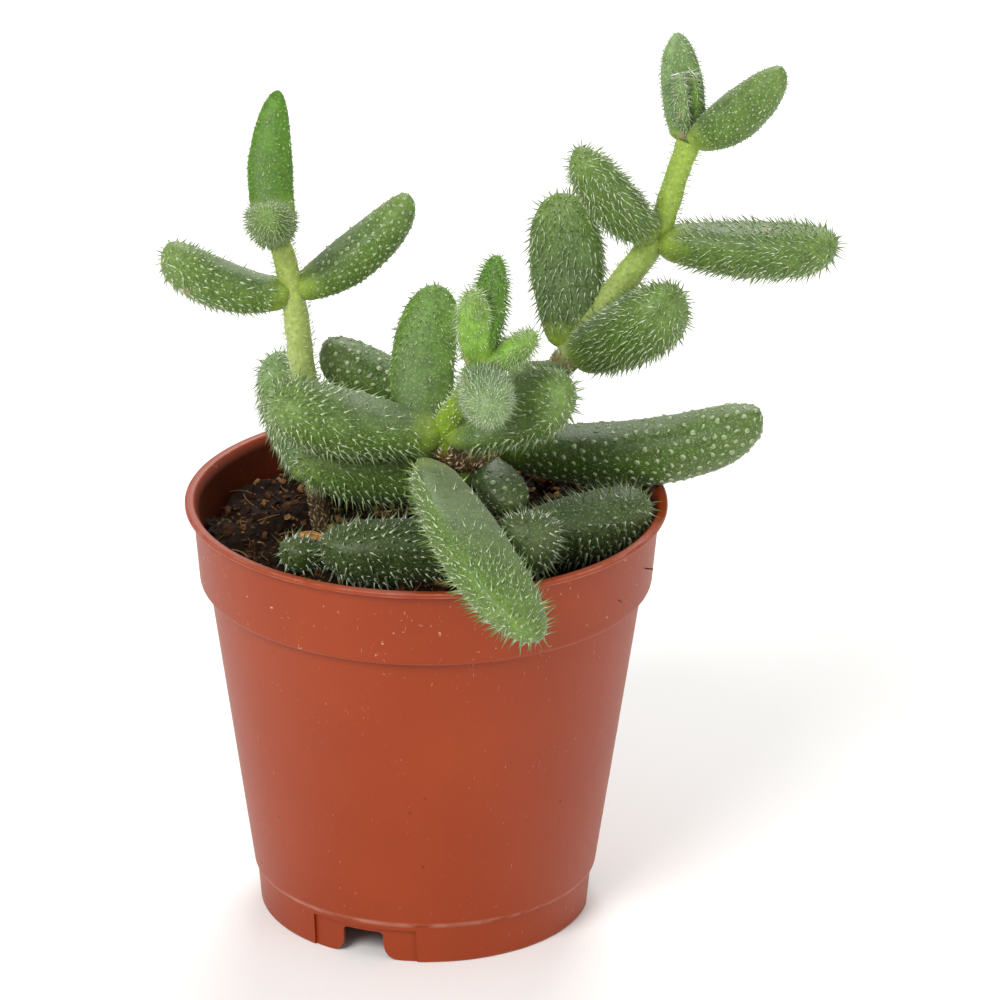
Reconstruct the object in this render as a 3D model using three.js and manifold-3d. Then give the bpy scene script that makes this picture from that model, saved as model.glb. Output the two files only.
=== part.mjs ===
// A pickle plant in a small plastic nursery pot.
// It has opposite pairs of thick, bristly leaves on five shoots.
// Lengths are in millimetres, angles in degrees. Z points up and the front faces -Y.
// Everything is laid out round the pot's axis, and the whole is centred at the end.

import * as THREE from 'three';
import { mergeVertices } from 'three/addons/utils/BufferGeometryUtils.js';
import Module from 'manifold-3d';

const wasm = await Module();
wasm.setup();

// Pot: a thin moulded cone with a collar, a flange round the rim and a notched foot ring.
const POT_HEIGHT = 49.5;
const POT_RIM_RADIUS = 27.5;
const POT_MOUTH_RADIUS = 26.5;
const POT_RIM_THICKNESS = 0.6;
const POT_WALL = 0.7;
const COLLAR_TOP_RADIUS = 26.6;
const COLLAR_FOOT_RADIUS = 25.8;
const COLLAR_FOOT_Z = 40;
const CONE_TOP_RADIUS = 24.8;
const CONE_FOOT_RADIUS = 19.75;
const FOOT_STEP = 0.3;
const FOOT_RADIUS = 19;
const FOOT_WALL = 0.9;
const FLOOR_Z = 4.9;
const FLOOR_THICKNESS = 0.8;
const POT_SIDES = 48;
const DRAIN_RADIUS = 3.5;
const SIDE_DRAIN_RADIUS = 2.2;
const SIDE_DRAIN_DISTANCE = 12.5;
const DRAIN_SIDES = 12;

// Foot ring: three notches, each in the middle of a wider panel that is set in a little.
const NOTCH_COUNT = 3;
const NOTCH_HEADING = -112;
const NOTCH_WIDTH = 4.9;
const NOTCH_HEIGHT = 3.5;
const NOTCH_FLARE = 1.3;
const NOTCH_ROUND = 0.5;
const PANEL_WIDTH = 12.6;
const PANEL_HEIGHT = 4.1;
const PANEL_DEPTH = 0.35;
const CUT_INSIDE = 5;
const CUT_OUTSIDE = 2;

// Soil: a lumpy surface a few millimetres below the rim, which rises a little to the back.
// The lumps are waves, given as radians per millimetre along X and Y.
const SOIL_Z = 44.4;
const SOIL_LUMP = 0.55;
const SOIL_RISE = 0.8;
const FINE_LUMPS = [0.9, 0.8];
const BROAD_LUMPS = [0.45, 0.6];
const SOIL_SIDES = 30;
const SOIL_RINGS = 7;

// Clearances between pieces that grow out of, rest on or stand in each other.
const GAP = 0.3;
const HAIR_GAP = 0.25;

// Leaves: nearly flat above, rounded below, with the rings and sides of their mesh.
const LEAF_SIDES = 10;
const SMALL_LEAF_SIDES = 8;
const SMALL_LEAF_WIDTH = 5.5;
const LEAF_RINGS = [0, 0.13, 0.3, 0.48, 0.65, 0.79, 0.89, 0.96];
const LEAF_START = 0.5;
const LEAF_WAIST = 0.58;
const LEAF_TOP_SHARE = 0.34;

// Bristles: three-sided spikes, rooted below the skin and leaning towards the tip.
// The flat face has none, except near the tip.
const BRISTLE_LENGTH = 1.15;
const BRISTLE_RADIUS = 0.17;
const BRISTLE_ROOT = 0.35;
const BRISTLE_LEAN = 25;
const BRISTLE_TIP_LEAN = 70;
const BRISTLE_START = 0.16;
const BRISTLE_END = 0.985;
const TIP_START = 0.8;
const BARE_FACE_END = 0.62;
const BARE_FACE_HALF_ANGLE = 55;
const GOLDEN_ANGLE = 137.5;

// Stems: the length of one step along them, and how far their closed ends reach on.
const STEM_SIDES = 8;
const STEM_STEP = 3.2;
const STEM_FOOT = 0.4;
const STEM_END = 0.6;

// Colour and roughness of each kind of piece.
const FINISHES = {
  pot: [0xae5840, 0.42],
  soil: [0x35261d, 0.95],
  fresh_stem: [0x9ab552, 0.6],
  woody_stem: [0x8d8359, 0.7],
  mature: [0x55823c, 0.6],
  young: [0x86a84e, 0.6],
  dark: [0x3c5c32, 0.6],
  dried: [0xb5793f, 0.8],
};

const rad = THREE.MathUtils.degToRad;
const v = (x, y, z) => new THREE.Vector3(x, y, z);

// Stems run through their nodes, each given as x, y, z and the radius there.
const SHOOTS = {
  left: [
    [-11.5, 5.3, 37, 1.1],
    [-11.9, 5.1, 45, 1.25],
    [-12.4, 4.9, 49.5, 1.3],
    [-13.8, 4.4, 61, 1.25],
    [-15.3, 4, 73.3, 1.15],
    [-17.1, 3.6, 81.2, 0.8],
  ],
  centre: [
    [11.2, 7.2, 37, 1.3],
    [10, 5.6, 44.3, 1.6],
    [8.2, 3.4, 49.8, 1.65],
    [6.2, 1.2, 53.6, 1.7],
    [2.6, -2.9, 56.3, 1.6],
    [2.2, -4.2, 59.8, 1.5],
    [4, -8.5, 65.3, 1.2],
    [5.6, -14.4, 71.2, 1.1],
  ],
  right: [
    [8.4, 9.2, 37, 1.3],
    [8, 8.8, 45, 1.5],
    [7.4, 8, 53.9, 1.5],
    [11, 8.5, 58.2, 1.4],
    [14.8, 9, 61.8, 1.35],
    [16.7, 9.3, 64, 1.5],
    [21.5, 9.7, 71, 1.6],
    [25.9, 10, 77.6, 1.35],
    [27.9, 10.6, 83.5, 1.15],
    [29.6, 11, 88.9, 1.1],
  ],
  low: [
    [6.8, -3, 37, 1.2],
    [7.3, -5.6, 44, 1.4],
    [8.6, -9, 48, 1.4],
  ],
  back: [
    [0.6, 13.4, 37, 1.2],
    [0, 14, 44.5, 1.4],
    [-0.6, 14.6, 49.2, 1.3],
  ],
};

// Leaves: where they sit on their shoot, the way they point, and their size.
// heading is the compass angle in plan from +X, rise the slope of the line from base to tip,
// curl how far the leaf bends towards its flat face, sway how far it bends towards its side,
// twist its turn about its own line, and blunt how square its tip is. A leaf has the finish that
// its tone names, and a mature leaf names none.
const LEAVES = [
  // Left shoot
  { name: 'left_leaf_out', shoot: 'left', node: 4, heading: -169, rise: 24, length: 15.6,
    width: 6, depth: 5.5, curl: 40, sway: 0, twist: 0, blunt: 2.8, bristles: 20 },
  { name: 'left_leaf_in', shoot: 'left', node: 4, heading: 9, rise: 39, length: 17.2,
    width: 5.8, depth: 5.3, curl: 26, sway: 0, twist: 0, blunt: 2.8, bristles: 20 },
  { name: 'left_leaf_back', shoot: 'left', node: 5, heading: 88, rise: 63, length: 15.4,
    width: 5.2, depth: 4.2, curl: 4, sway: 22, twist: 0, blunt: 1.3, bristles: 20 },
  { name: 'left_leaf_front', shoot: 'left', node: 5, heading: -93, rise: 26, length: 12.8,
    width: 5.6, depth: 5, curl: 4, sway: 0, twist: 0, blunt: 2.4, bristles: 24, tone: 'young' },
  { name: 'left_leaf_low', shoot: 'left', node: 2, heading: 120, rise: 54, length: 15.8,
    width: 7.4, depth: 6.4, curl: 14, sway: 0, twist: 0, blunt: 2.6, bristles: 20, tone: 'dark' },
  // Centre shoot
  { name: 'centre_leaf_left', shoot: 'centre', node: 5, heading: -176, rise: 14, length: 20.2,
    width: 8.6, depth: 7.4, curl: 24, sway: 0, twist: -6, blunt: 3, bristles: 28 },
  { name: 'centre_leaf_right', shoot: 'centre', node: 5, heading: -28, rise: 23, length: 17.8,
    width: 9, depth: 7.6, curl: 10, sway: 0, twist: 22, blunt: 2.6, bristles: 26 },
  { name: 'centre_leaf_back', from: [1, -3.6, 56.2], heading: 85, rise: 61, length: 19.3,
    width: 7.2, depth: 5.2, curl: 6, sway: 46, twist: 0, blunt: 2.8, bristles: 22 },
  { name: 'centre_leaf_front', from: [1.5, -3.7, 56.1], heading: -71.3, rise: -13.4, length: 35.1,
    width: 10, depth: 5.8, curl: -48, sway: -38, twist: -16, blunt: 2.4, bristles: 38 },
  { name: 'centre_leaf_low_left', shoot: 'centre', node: 3, heading: -173, rise: 5, length: 21,
    width: 7.4, depth: 7.4, curl: 14, sway: 0, twist: 0, blunt: 2.4, bristles: 26 },
  { name: 'centre_leaf_low_right', shoot: 'centre', node: 3, heading: -58, rise: -20, length: 8.4,
    width: 5.4, depth: 4.6, curl: 0, sway: 0, twist: 0, blunt: 2.4, bristles: 12, tone: 'dark' },
  // Young leaves at the top of the centre shoot
  { name: 'young_leaf_front', shoot: 'centre', node: 7, heading: -79, rise: -3, length: 9,
    width: 7, depth: 6.4, curl: 6, sway: 0, twist: 0, blunt: 2.6, bristles: 30, tone: 'young' },
  { name: 'young_leaf_back', shoot: 'centre', node: 7, heading: 66, rise: 66, length: 12.8,
    width: 4.6, depth: 3.8, curl: 6, sway: 0, twist: 0, blunt: 2, bristles: 18, tone: 'young' },
  { name: 'young_leaf_left', shoot: 'centre', node: 7, heading: 100, rise: 82, length: 9,
    width: 5.4, depth: 4, curl: 4, sway: 12, twist: 0, blunt: 2.2, bristles: 18, tone: 'young' },
  { name: 'young_leaf_right', shoot: 'centre', node: 7, heading: 9, rise: 32, length: 7.6,
    width: 4.2, depth: 3.8, curl: 10, sway: 0, twist: 0, blunt: 2, bristles: 14, tone: 'young' },
  // Right shoot
  { name: 'right_leaf_low_right', shoot: 'right', node: 2, heading: -11, rise: 10, length: 31.6,
    width: 8.4, depth: 7.4, curl: 38, sway: 0, twist: 0, blunt: 3, bristles: 40, tone: 'dark' },
  { name: 'right_leaf_low_left', shoot: 'right', node: 2, heading: 171, rise: 28, length: 22,
    width: 7.4, depth: 6.8, curl: 8, sway: 0, twist: 0, blunt: 3, bristles: 22, tone: 'dark' },
  { name: 'right_leaf_low_front', shoot: 'right', node: 4, heading: -118, rise: 14, length: 9.4,
    width: 5, depth: 4.2, curl: 8, sway: 0, twist: 0, blunt: 2.4, bristles: 14, tone: 'dark' },
  { name: 'right_leaf_mid_left', shoot: 'right', node: 5, heading: 105, rise: 74, length: 18,
    width: 9, depth: 5.6, curl: 6, sway: 0, twist: -30, blunt: 2.4, bristles: 30 },
  { name: 'right_leaf_mid_right', shoot: 'right', node: 5, heading: -36, rise: 36, length: 17.4,
    width: 8.8, depth: 8, curl: 6, sway: 0, twist: 0, blunt: 2.8, bristles: 30 },
  { name: 'right_leaf_high_left', shoot: 'right', node: 7, heading: -146, rise: 50, length: 16.8,
    width: 6.4, depth: 5.8, curl: 4, sway: 0, twist: 0, blunt: 2.6, bristles: 24 },
  { name: 'right_leaf_high_right', shoot: 'right', node: 7, heading: -8, rise: 1.5, length: 21.4,
    width: 7.2, depth: 6.6, curl: 8, sway: 0, twist: 0, blunt: 2, bristles: 28 },
  { name: 'right_leaf_top_left', shoot: 'right', node: 9, heading: 118, rise: 76, length: 12.4,
    width: 5.8, depth: 4.6, curl: 12, sway: 0, twist: -20, blunt: 1.4, bristles: 20, tone: 'young' },
  { name: 'right_leaf_top_right', shoot: 'right', node: 9, heading: -20, rise: 43, length: 14.8,
    width: 6.8, depth: 6, curl: 8, sway: 0, twist: 0, blunt: 2, bristles: 24, tone: 'young' },
  { name: 'right_bud_left', shoot: 'right', node: 9, heading: 200, rise: 82, length: 8.4,
    width: 2.6, depth: 1.9, curl: 8, sway: 0, twist: 0, blunt: 1.6, bristles: 8, tone: 'young' },
  { name: 'right_bud_right', shoot: 'right', node: 9, heading: 10, rise: 85, length: 8.4,
    width: 2.6, depth: 1.9, curl: 8, sway: 0, twist: 0, blunt: 1.6, bristles: 8, tone: 'young' },
  // Low shoot at the front
  { name: 'low_leaf_left', shoot: 'low', node: 2, heading: -170, rise: 3.5, length: 20.8,
    width: 8, depth: 7.4, curl: 6, sway: 0, twist: 0, blunt: 2.8, bristles: 26, tone: 'dark' },
  { name: 'low_leaf_front', shoot: 'low', node: 2, heading: -70, rise: 29, length: 12,
    width: 8, depth: 7.2, curl: 6, sway: 0, twist: 0, blunt: 2.4, bristles: 24, tone: 'dark' },
  { name: 'low_leaf_right', shoot: 'low', node: 2, heading: 19, rise: 9, length: 17.8,
    width: 8.2, depth: 7.6, curl: 6, sway: 0, twist: 0, blunt: 2.8, bristles: 26, tone: 'dark' },
  // Short shoot at the back
  { name: 'back_leaf_left', shoot: 'back', node: 2, heading: 168, rise: 14, length: 13,
    width: 6.4, depth: 5.6, curl: 14, sway: 0, twist: 0, blunt: 2.4, bristles: 18, tone: 'dark' },
  { name: 'back_leaf_right', shoot: 'back', node: 2, heading: -8, rise: 10, length: 12,
    width: 6, depth: 5.2, curl: 14, sway: 0, twist: 0, blunt: 2.4, bristles: 18, tone: 'dark' },
];

// A leaf whose short stalk starts in the soil, beside the low shoot.
const SOIL_LEAF = {
  name: 'small_leaf_front_left', from: [-10.4, -5.6, 45.2], heading: -150, rise: 16, length: 7,
  width: 4.6, depth: 4, curl: 6, sway: 0, twist: 0, blunt: 2, bristles: 12, tone: 'dark',
};

// Withered leaves that lie on the soil.
const DRIED_LEAVES = [
  { name: 'dried_leaf_left', from: [-15.2, -1.7, 45.2], heading: -25, rise: 6, length: 4.2,
    width: 1.8, depth: 0.9, curl: -40, sway: 0, twist: 25, blunt: 1.4, bristles: 0, tone: 'dried' },
  { name: 'dried_leaf_middle', from: [-6, 6.4, 44.9], heading: 12, rise: 4, length: 3.6,
    width: 1.6, depth: 0.9, curl: 30, sway: 0, twist: -20, blunt: 1.4, bristles: 0, tone: 'dried' },
];

// A repeatable stream of numbers between 0 and 1.
function randomStream(seed) {
  let state = seed;
  return () => {
    state = (state * 1664525 + 1013904223) % 4294967296;
    return state / 4294967296;
  };
}

function signedVolume(position, index) {
  const a = new THREE.Vector3();
  const b = new THREE.Vector3();
  const c = new THREE.Vector3();
  let volume = 0;
  for (let i = 0; i < index.length; i += 3) {
    a.fromBufferAttribute(position, index[i]);
    b.fromBufferAttribute(position, index[i + 1]);
    c.fromBufferAttribute(position, index[i + 2]);
    volume += a.dot(b.cross(c)) / 6;
  }
  return volume;
}

// A closed surface becomes a solid whose faces point out.
function toSolid(geometry) {
  const bare = geometry.clone();
  bare.deleteAttribute('normal');
  bare.deleteAttribute('uv');
  const merged = mergeVertices(bare, 1e-4);
  const index = Uint32Array.from(merged.index.array);
  if (signedVolume(merged.attributes.position, index) < 0) index.reverse();
  const vertProperties = Float32Array.from(merged.attributes.position.array);
  return new wasm.Manifold(new wasm.Mesh({ numProp: 3, vertProperties, triVerts: index }));
}

function toGeometry(solid) {
  const mesh = solid.getMesh();
  const geometry = new THREE.BufferGeometry();
  geometry.setAttribute('position', new THREE.BufferAttribute(mesh.vertProperties, 3));
  geometry.setIndex(new THREE.BufferAttribute(mesh.triVerts, 1));
  geometry.computeVertexNormals();
  return geometry;
}

// A skin over rings of equal count, closed at each end by a fan to one point.
function loft(rings, firstPoint, lastPoint) {
  const sides = rings[0].length;
  const points = [firstPoint, ...rings.flat(), lastPoint];
  const last = points.length - 1;
  const faces = [];
  for (let k = 0; k < sides; k++) {
    const next = (k + 1) % sides;
    faces.push(0, 1 + next, 1 + k);
    for (let r = 0; r < rings.length - 1; r++) {
      const here = 1 + r * sides;
      const above = here + sides;
      faces.push(here + k, here + next, above + next);
      faces.push(here + k, above + next, above + k);
    }
    faces.push(last - sides + k, last - sides + next, last);
  }
  const geometry = new THREE.BufferGeometry().setFromPoints(points);
  geometry.setIndex(faces);
  return geometry;
}

// The pot's outline, from the drain hole's lower edge outwards, up, over the rim and back in.
function potOutline() {
  const footInner = FOOT_RADIUS - FOOT_WALL;
  const footTop = CONE_FOOT_RADIUS - FOOT_STEP;
  const rimUnderside = POT_HEIGHT - POT_RIM_THICKNESS;
  const floorTop = FLOOR_Z + FLOOR_THICKNESS;
  return [
    [DRAIN_RADIUS, FLOOR_Z],
    [footTop - FOOT_WALL, FLOOR_Z],
    [footInner, 0],
    [FOOT_RADIUS, 0],
    [footTop, FLOOR_Z],
    [CONE_FOOT_RADIUS, FLOOR_Z + 0.1],
    [CONE_TOP_RADIUS, COLLAR_FOOT_Z],
    [COLLAR_FOOT_RADIUS, COLLAR_FOOT_Z],
    [COLLAR_TOP_RADIUS, rimUnderside],
    [POT_RIM_RADIUS, rimUnderside],
    [POT_RIM_RADIUS, POT_HEIGHT - 0.1],
    [POT_RIM_RADIUS - 0.1, POT_HEIGHT],
    [POT_MOUTH_RADIUS, POT_HEIGHT],
    [COLLAR_TOP_RADIUS - POT_WALL, rimUnderside - 0.4],
    [COLLAR_FOOT_RADIUS - POT_WALL, COLLAR_FOOT_Z + POT_WALL],
    [CONE_TOP_RADIUS - POT_WALL, COLLAR_FOOT_Z + POT_WALL],
    [CONE_FOOT_RADIUS - POT_WALL, floorTop],
    [DRAIN_RADIUS, floorTop],
    [DRAIN_RADIUS, FLOOR_Z],
  ];
}

// A block that runs through the foot ring at one heading, with the given outline.
function footBlock(shape, heading) {
  const depth = CUT_INSIDE + CUT_OUTSIDE;
  const geometry = new THREE.ExtrudeGeometry(shape, { depth, bevelEnabled: false, curveSegments: 3 });
  geometry.rotateX(Math.PI / 2);
  geometry.translate(0, FOOT_RADIUS + CUT_OUTSIDE, 0);
  geometry.rotateZ(rad(heading - 90));
  return toSolid(geometry);
}

// The notch has a small round in its upper corners and flares at the ground.
function notchShape() {
  const half = NOTCH_WIDTH / 2;
  const shape = new THREE.Shape();
  shape.moveTo(-half - NOTCH_FLARE, -1);
  shape.lineTo(-half - NOTCH_FLARE, 0);
  shape.quadraticCurveTo(-half, 0, -half, NOTCH_FLARE);
  shape.lineTo(-half, NOTCH_HEIGHT - NOTCH_ROUND);
  shape.quadraticCurveTo(-half, NOTCH_HEIGHT, -half + NOTCH_ROUND, NOTCH_HEIGHT);
  shape.lineTo(half - NOTCH_ROUND, NOTCH_HEIGHT);
  shape.quadraticCurveTo(half, NOTCH_HEIGHT, half, NOTCH_HEIGHT - NOTCH_ROUND);
  shape.lineTo(half, NOTCH_FLARE);
  shape.quadraticCurveTo(half, 0, half + NOTCH_FLARE, 0);
  shape.lineTo(half + NOTCH_FLARE, -1);
  return shape;
}

// What a panel takes off the outside of the foot ring, which leans out as it rises.
function panelCut(heading) {
  const half = PANEL_WIDTH / 2;
  const shape = new THREE.Shape();
  shape.moveTo(-half, -1);
  shape.lineTo(half, -1);
  shape.lineTo(half, PANEL_HEIGHT);
  shape.lineTo(-half, PANEL_HEIGHT);
  const topRadius = CONE_FOOT_RADIUS - FOOT_STEP - PANEL_DEPTH;
  const core = new THREE.CylinderGeometry(topRadius, FOOT_RADIUS - PANEL_DEPTH, FLOOR_Z, POT_SIDES);
  core.rotateX(Math.PI / 2);
  core.translate(0, 0, FLOOR_Z / 2);
  return footBlock(shape, heading).subtract(toSolid(core));
}

function potSolid() {
  const outline = potOutline().map(([r, z]) => new THREE.Vector2(r, z));
  const lathe = new THREE.LatheGeometry(outline, POT_SIDES);
  lathe.rotateX(Math.PI / 2);
  let pot = toSolid(lathe);
  for (let k = 0; k < NOTCH_COUNT; k++) {
    const heading = NOTCH_HEADING + (360 / NOTCH_COUNT) * k;
    const drain = new THREE.CylinderGeometry(SIDE_DRAIN_RADIUS, SIDE_DRAIN_RADIUS, FLOOR_Z, DRAIN_SIDES);
    drain.rotateX(Math.PI / 2);
    drain.translate(SIDE_DRAIN_DISTANCE, 0, FLOOR_Z);
    drain.rotateZ(rad(heading));
    pot = pot.subtract(panelCut(heading));
    pot = pot.subtract(footBlock(notchShape(), heading));
    pot = pot.subtract(toSolid(drain));
  }
  return pot;
}

// Height of the soil at a place in plan.
function soilHeight(x, y) {
  const fine = Math.sin(x * FINE_LUMPS[0] + 1.3) * Math.cos(y * FINE_LUMPS[1] - 0.4);
  const broad = Math.sin(x * BROAD_LUMPS[0] - y * BROAD_LUMPS[1]);
  return SOIL_Z + SOIL_RISE * (y / POT_RIM_RADIUS) + SOIL_LUMP * (fine + broad);
}

function circlePoints(radius, height) {
  const points = [];
  for (let k = 0; k < SOIL_SIDES; k++) {
    const angle = (2 * Math.PI * k) / SOIL_SIDES;
    const x = radius * Math.cos(angle);
    const y = radius * Math.sin(angle);
    points.push(v(x, y, height === undefined ? soilHeight(x, y) : height));
  }
  return points;
}

function soilBody() {
  const floor = FLOOR_Z + FLOOR_THICKNESS + GAP;
  const ledge = COLLAR_FOOT_Z + POT_WALL + GAP;
  const coneFoot = CONE_FOOT_RADIUS - POT_WALL - GAP;
  const coneTop = CONE_TOP_RADIUS - POT_WALL - GAP;
  const collar = COLLAR_FOOT_RADIUS - POT_WALL - GAP;
  const rings = [
    circlePoints(coneFoot, floor),
    circlePoints(coneTop, ledge),
    circlePoints(collar, ledge),
  ];
  for (let ring = SOIL_RINGS; ring > 0; ring--) {
    rings.push(circlePoints((collar * ring) / SOIL_RINGS));
  }
  return toSolid(loft(rings, v(0, 0, floor), v(0, 0, soilHeight(0, 0))));
}

// A stem as rings across a smooth curve through its nodes.
function stemBody(nodes, grow = 0) {
  const curve = new THREE.CatmullRomCurve3(nodes.map(([x, y, z]) => v(x, y, z)));
  const steps = Math.round(curve.getLength() / STEM_STEP);
  const rings = [];
  for (let i = 0; i <= steps; i++) {
    const t = i / steps;
    const along = curve.getTangent(t);
    const side = v(0, 1, 0).cross(along).normalize();
    const front = along.clone().cross(side);
    const radius = stemRadius(nodes, t) + grow;
    const centre = curve.getPoint(t);
    const ring = [];
    for (let k = 0; k < STEM_SIDES; k++) {
      const angle = (2 * Math.PI * k) / STEM_SIDES;
      const arm = side.clone().multiplyScalar(radius * Math.cos(angle));
      arm.addScaledVector(front, radius * Math.sin(angle));
      ring.push(arm.add(centre));
    }
    rings.push(ring);
  }
  const first = curve.getPoint(0).addScaledVector(curve.getTangent(0), -grow - STEM_FOOT);
  const last = curve.getPoint(1).addScaledVector(curve.getTangent(1), grow + STEM_END);
  return toSolid(loft(rings, first, last));
}

function stemRadius(nodes, t) {
  const place = t * (nodes.length - 1);
  const k = Math.min(Math.floor(place), nodes.length - 2);
  return THREE.MathUtils.lerp(nodes[k][3], nodes[k + 1][3], place - k);
}

// The leaf's three directions: along from base to tip, normal out of its flat face, and side.
function leafFrame(leaf) {
  const heading = rad(leaf.heading);
  const rise = rad(leaf.rise);
  const ahead = v(Math.cos(heading), Math.sin(heading), 0);
  const along = ahead.clone().multiplyScalar(Math.cos(rise)).setZ(Math.sin(rise));
  const normal = ahead.clone().multiplyScalar(-Math.sin(rise)).setZ(Math.cos(rise));
  const side = along.clone().cross(normal);
  const bend = Math.max(rad(Math.hypot(leaf.curl, leaf.sway)), 1e-3);
  const inward = normal.clone().multiplyScalar(leaf.curl + 1e-3).addScaledVector(side, leaf.sway);
  inward.normalize();
  normal.applyAxisAngle(along, rad(leaf.twist));
  side.applyAxisAngle(along, rad(leaf.twist));
  const from = leaf.from ? v(...leaf.from) : v(...SHOOTS[leaf.shoot][leaf.node].slice(0, 3));
  return { along, normal, side, bend, inward, base: from.addScaledVector(along, LEAF_START) };
}

// A point of the leaf's middle line, which is an arc from base to tip, with its directions there.
function leafPlace(leaf, frame, t) {
  const turn = frame.bend * (t - 0.5);
  const half = frame.bend / 2;
  const radius = (leaf.length - LEAF_START) / (2 * Math.sin(half));
  const point = frame.base.clone();
  point.addScaledVector(frame.along, radius * (Math.sin(turn) + Math.sin(half)));
  point.addScaledVector(frame.inward, radius * (Math.cos(half) - Math.cos(turn)));
  const hinge = frame.along.clone().cross(frame.inward);
  return {
    point,
    along: frame.along.clone().applyAxisAngle(hinge, turn),
    normal: frame.normal.clone().applyAxisAngle(hinge, turn),
    side: frame.side.clone().applyAxisAngle(hinge, turn),
  };
}

// Share of the full width at a place along the leaf: a waist, a full middle and a blunt tip.
function leafFullness(leaf, t) {
  const widest = 0.6;
  if (t < widest) return LEAF_WAIST + (1 - LEAF_WAIST) * Math.sin((Math.PI / 2) * (t / widest));
  return Math.sqrt(Math.max(0, 1 - ((t - widest) / (1 - widest)) ** leaf.blunt));
}

// A point of the leaf's skin: angle 0 is one edge, 90 the flat face, 270 the rounded back.
function skinPoint(leaf, place, t, angle, grow = 0) {
  const full = leafFullness(leaf, t);
  const across = (leaf.width / 2) * full + grow;
  const share = Math.sin(angle) > 0 ? LEAF_TOP_SHARE : 1 - LEAF_TOP_SHARE;
  const thick = leaf.depth * share * full + grow;
  const point = place.point.clone();
  point.addScaledVector(place.side, across * Math.cos(angle));
  return point.addScaledVector(place.normal, thick * Math.sin(angle));
}

function leafBody(leaf, grow = 0) {
  const frame = leafFrame(leaf);
  const rings = LEAF_RINGS.map((t) => {
    const place = leafPlace(leaf, frame, t);
    const sides = leaf.width > SMALL_LEAF_WIDTH ? LEAF_SIDES : SMALL_LEAF_SIDES;
    const ring = [];
    if (t === 0) place.point.addScaledVector(place.along, -grow);
    for (let k = 0; k < sides; k++) {
      ring.push(skinPoint(leaf, place, t, (2 * Math.PI * k) / sides, grow));
    }
    return ring;
  });
  const root = leafPlace(leaf, frame, 0);
  const tip = leafPlace(leaf, frame, 1);
  const first = root.point.clone().addScaledVector(root.along, -1.5 * grow);
  const last = tip.point.clone().addScaledVector(tip.along, grow);
  return toSolid(loft(rings, first, last));
}

// Points and radii down a leaf's middle, for testing what comes near it.
function leafProbe(leaf) {
  const frame = leafFrame(leaf);
  const probes = [];
  for (let t = 0; t <= 1; t += 0.1) {
    const place = leafPlace(leaf, frame, t);
    const full = leafFullness(leaf, t);
    probes.push({ place, across: (leaf.width / 2) * full, thick: leaf.depth * full });
  }
  return probes;
}

function isInLeaf(probes, point) {
  return probes.some(({ place, across, thick }) => {
    const offset = point.clone().sub(place.point);
    const along = Math.abs(offset.dot(place.along));
    const side = offset.dot(place.side) / (across + HAIR_GAP);
    const up = offset.dot(place.normal);
    const reach = thick * (up > 0 ? LEAF_TOP_SHARE : 1 - LEAF_TOP_SHARE) + HAIR_GAP;
    return along < 2 && side * side + (up / reach) ** 2 < 1;
  });
}

function isInStem(nodes, point) {
  const segment = new THREE.Line3();
  const nearest = new THREE.Vector3();
  for (let k = 0; k < nodes.length - 1; k++) {
    segment.set(v(...nodes[k].slice(0, 3)), v(...nodes[k + 1].slice(0, 3)));
    segment.closestPointToPoint(point, true, nearest);
    if (nearest.distanceTo(point) < nodes[k][3] + 2 * HAIR_GAP) return true;
  }
  return false;
}

function isInPotOrSoil(point) {
  const radius = Math.hypot(point.x, point.y);
  if (radius < POT_MOUTH_RADIUS - 2 * POT_WALL) return point.z < soilHeight(point.x, point.y) + HAIR_GAP;
  return radius < POT_RIM_RADIUS + HAIR_GAP && point.z < POT_HEIGHT + HAIR_GAP;
}

// Where each bristle of a leaf stands: a spiral by the golden angle from waist to tip.
function bristlePlaces(leaf, seed) {
  const random = randomStream(seed);
  const frame = leafFrame(leaf);
  const places = [];
  for (let i = 0; i < leaf.bristles; i++) {
    const t = BRISTLE_START + (1 - BRISTLE_START) * ((i + 0.3 + 0.4 * random()) / leaf.bristles);
    const degrees = (i * GOLDEN_ANGLE + 20 * random()) % 360;
    const onFace = Math.abs(degrees - 90) < BARE_FACE_HALF_ANGLE;
    if (onFace && t < BARE_FACE_END) continue;
    const angle = rad(degrees);
    const place = leafPlace(leaf, frame, Math.min(t, BRISTLE_END));
    const root = skinPoint(leaf, place, Math.min(t, BRISTLE_END), angle);
    const out = root.clone().sub(place.point).normalize();
    const nearTip = Math.max(0, (t - TIP_START) / (1 - TIP_START));
    const lean = rad(THREE.MathUtils.lerp(BRISTLE_LEAN, BRISTLE_TIP_LEAN, nearTip));
    const direction = out.multiplyScalar(Math.cos(lean)).addScaledVector(place.along, Math.sin(lean));
    places.push({ root, direction });
  }
  return places;
}

function bristleSolid({ root, direction }) {
  const cone = new THREE.ConeGeometry(BRISTLE_RADIUS, BRISTLE_LENGTH + BRISTLE_ROOT, 3);
  cone.translate(0, (BRISTLE_LENGTH - BRISTLE_ROOT) / 2, 0);
  cone.applyQuaternion(new THREE.Quaternion().setFromUnitVectors(v(0, 1, 0), direction));
  cone.translate(root.x, root.y, root.z);
  return toSolid(cone);
}

function piece(name, solid, finish) {
  const [color, roughness] = FINISHES[finish];
  const material = new THREE.MeshStandardMaterial({ color, roughness, metalness: 0 });
  const mesh = new THREE.Mesh(toGeometry(solid), material);
  mesh.name = name;
  return mesh;
}

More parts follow.
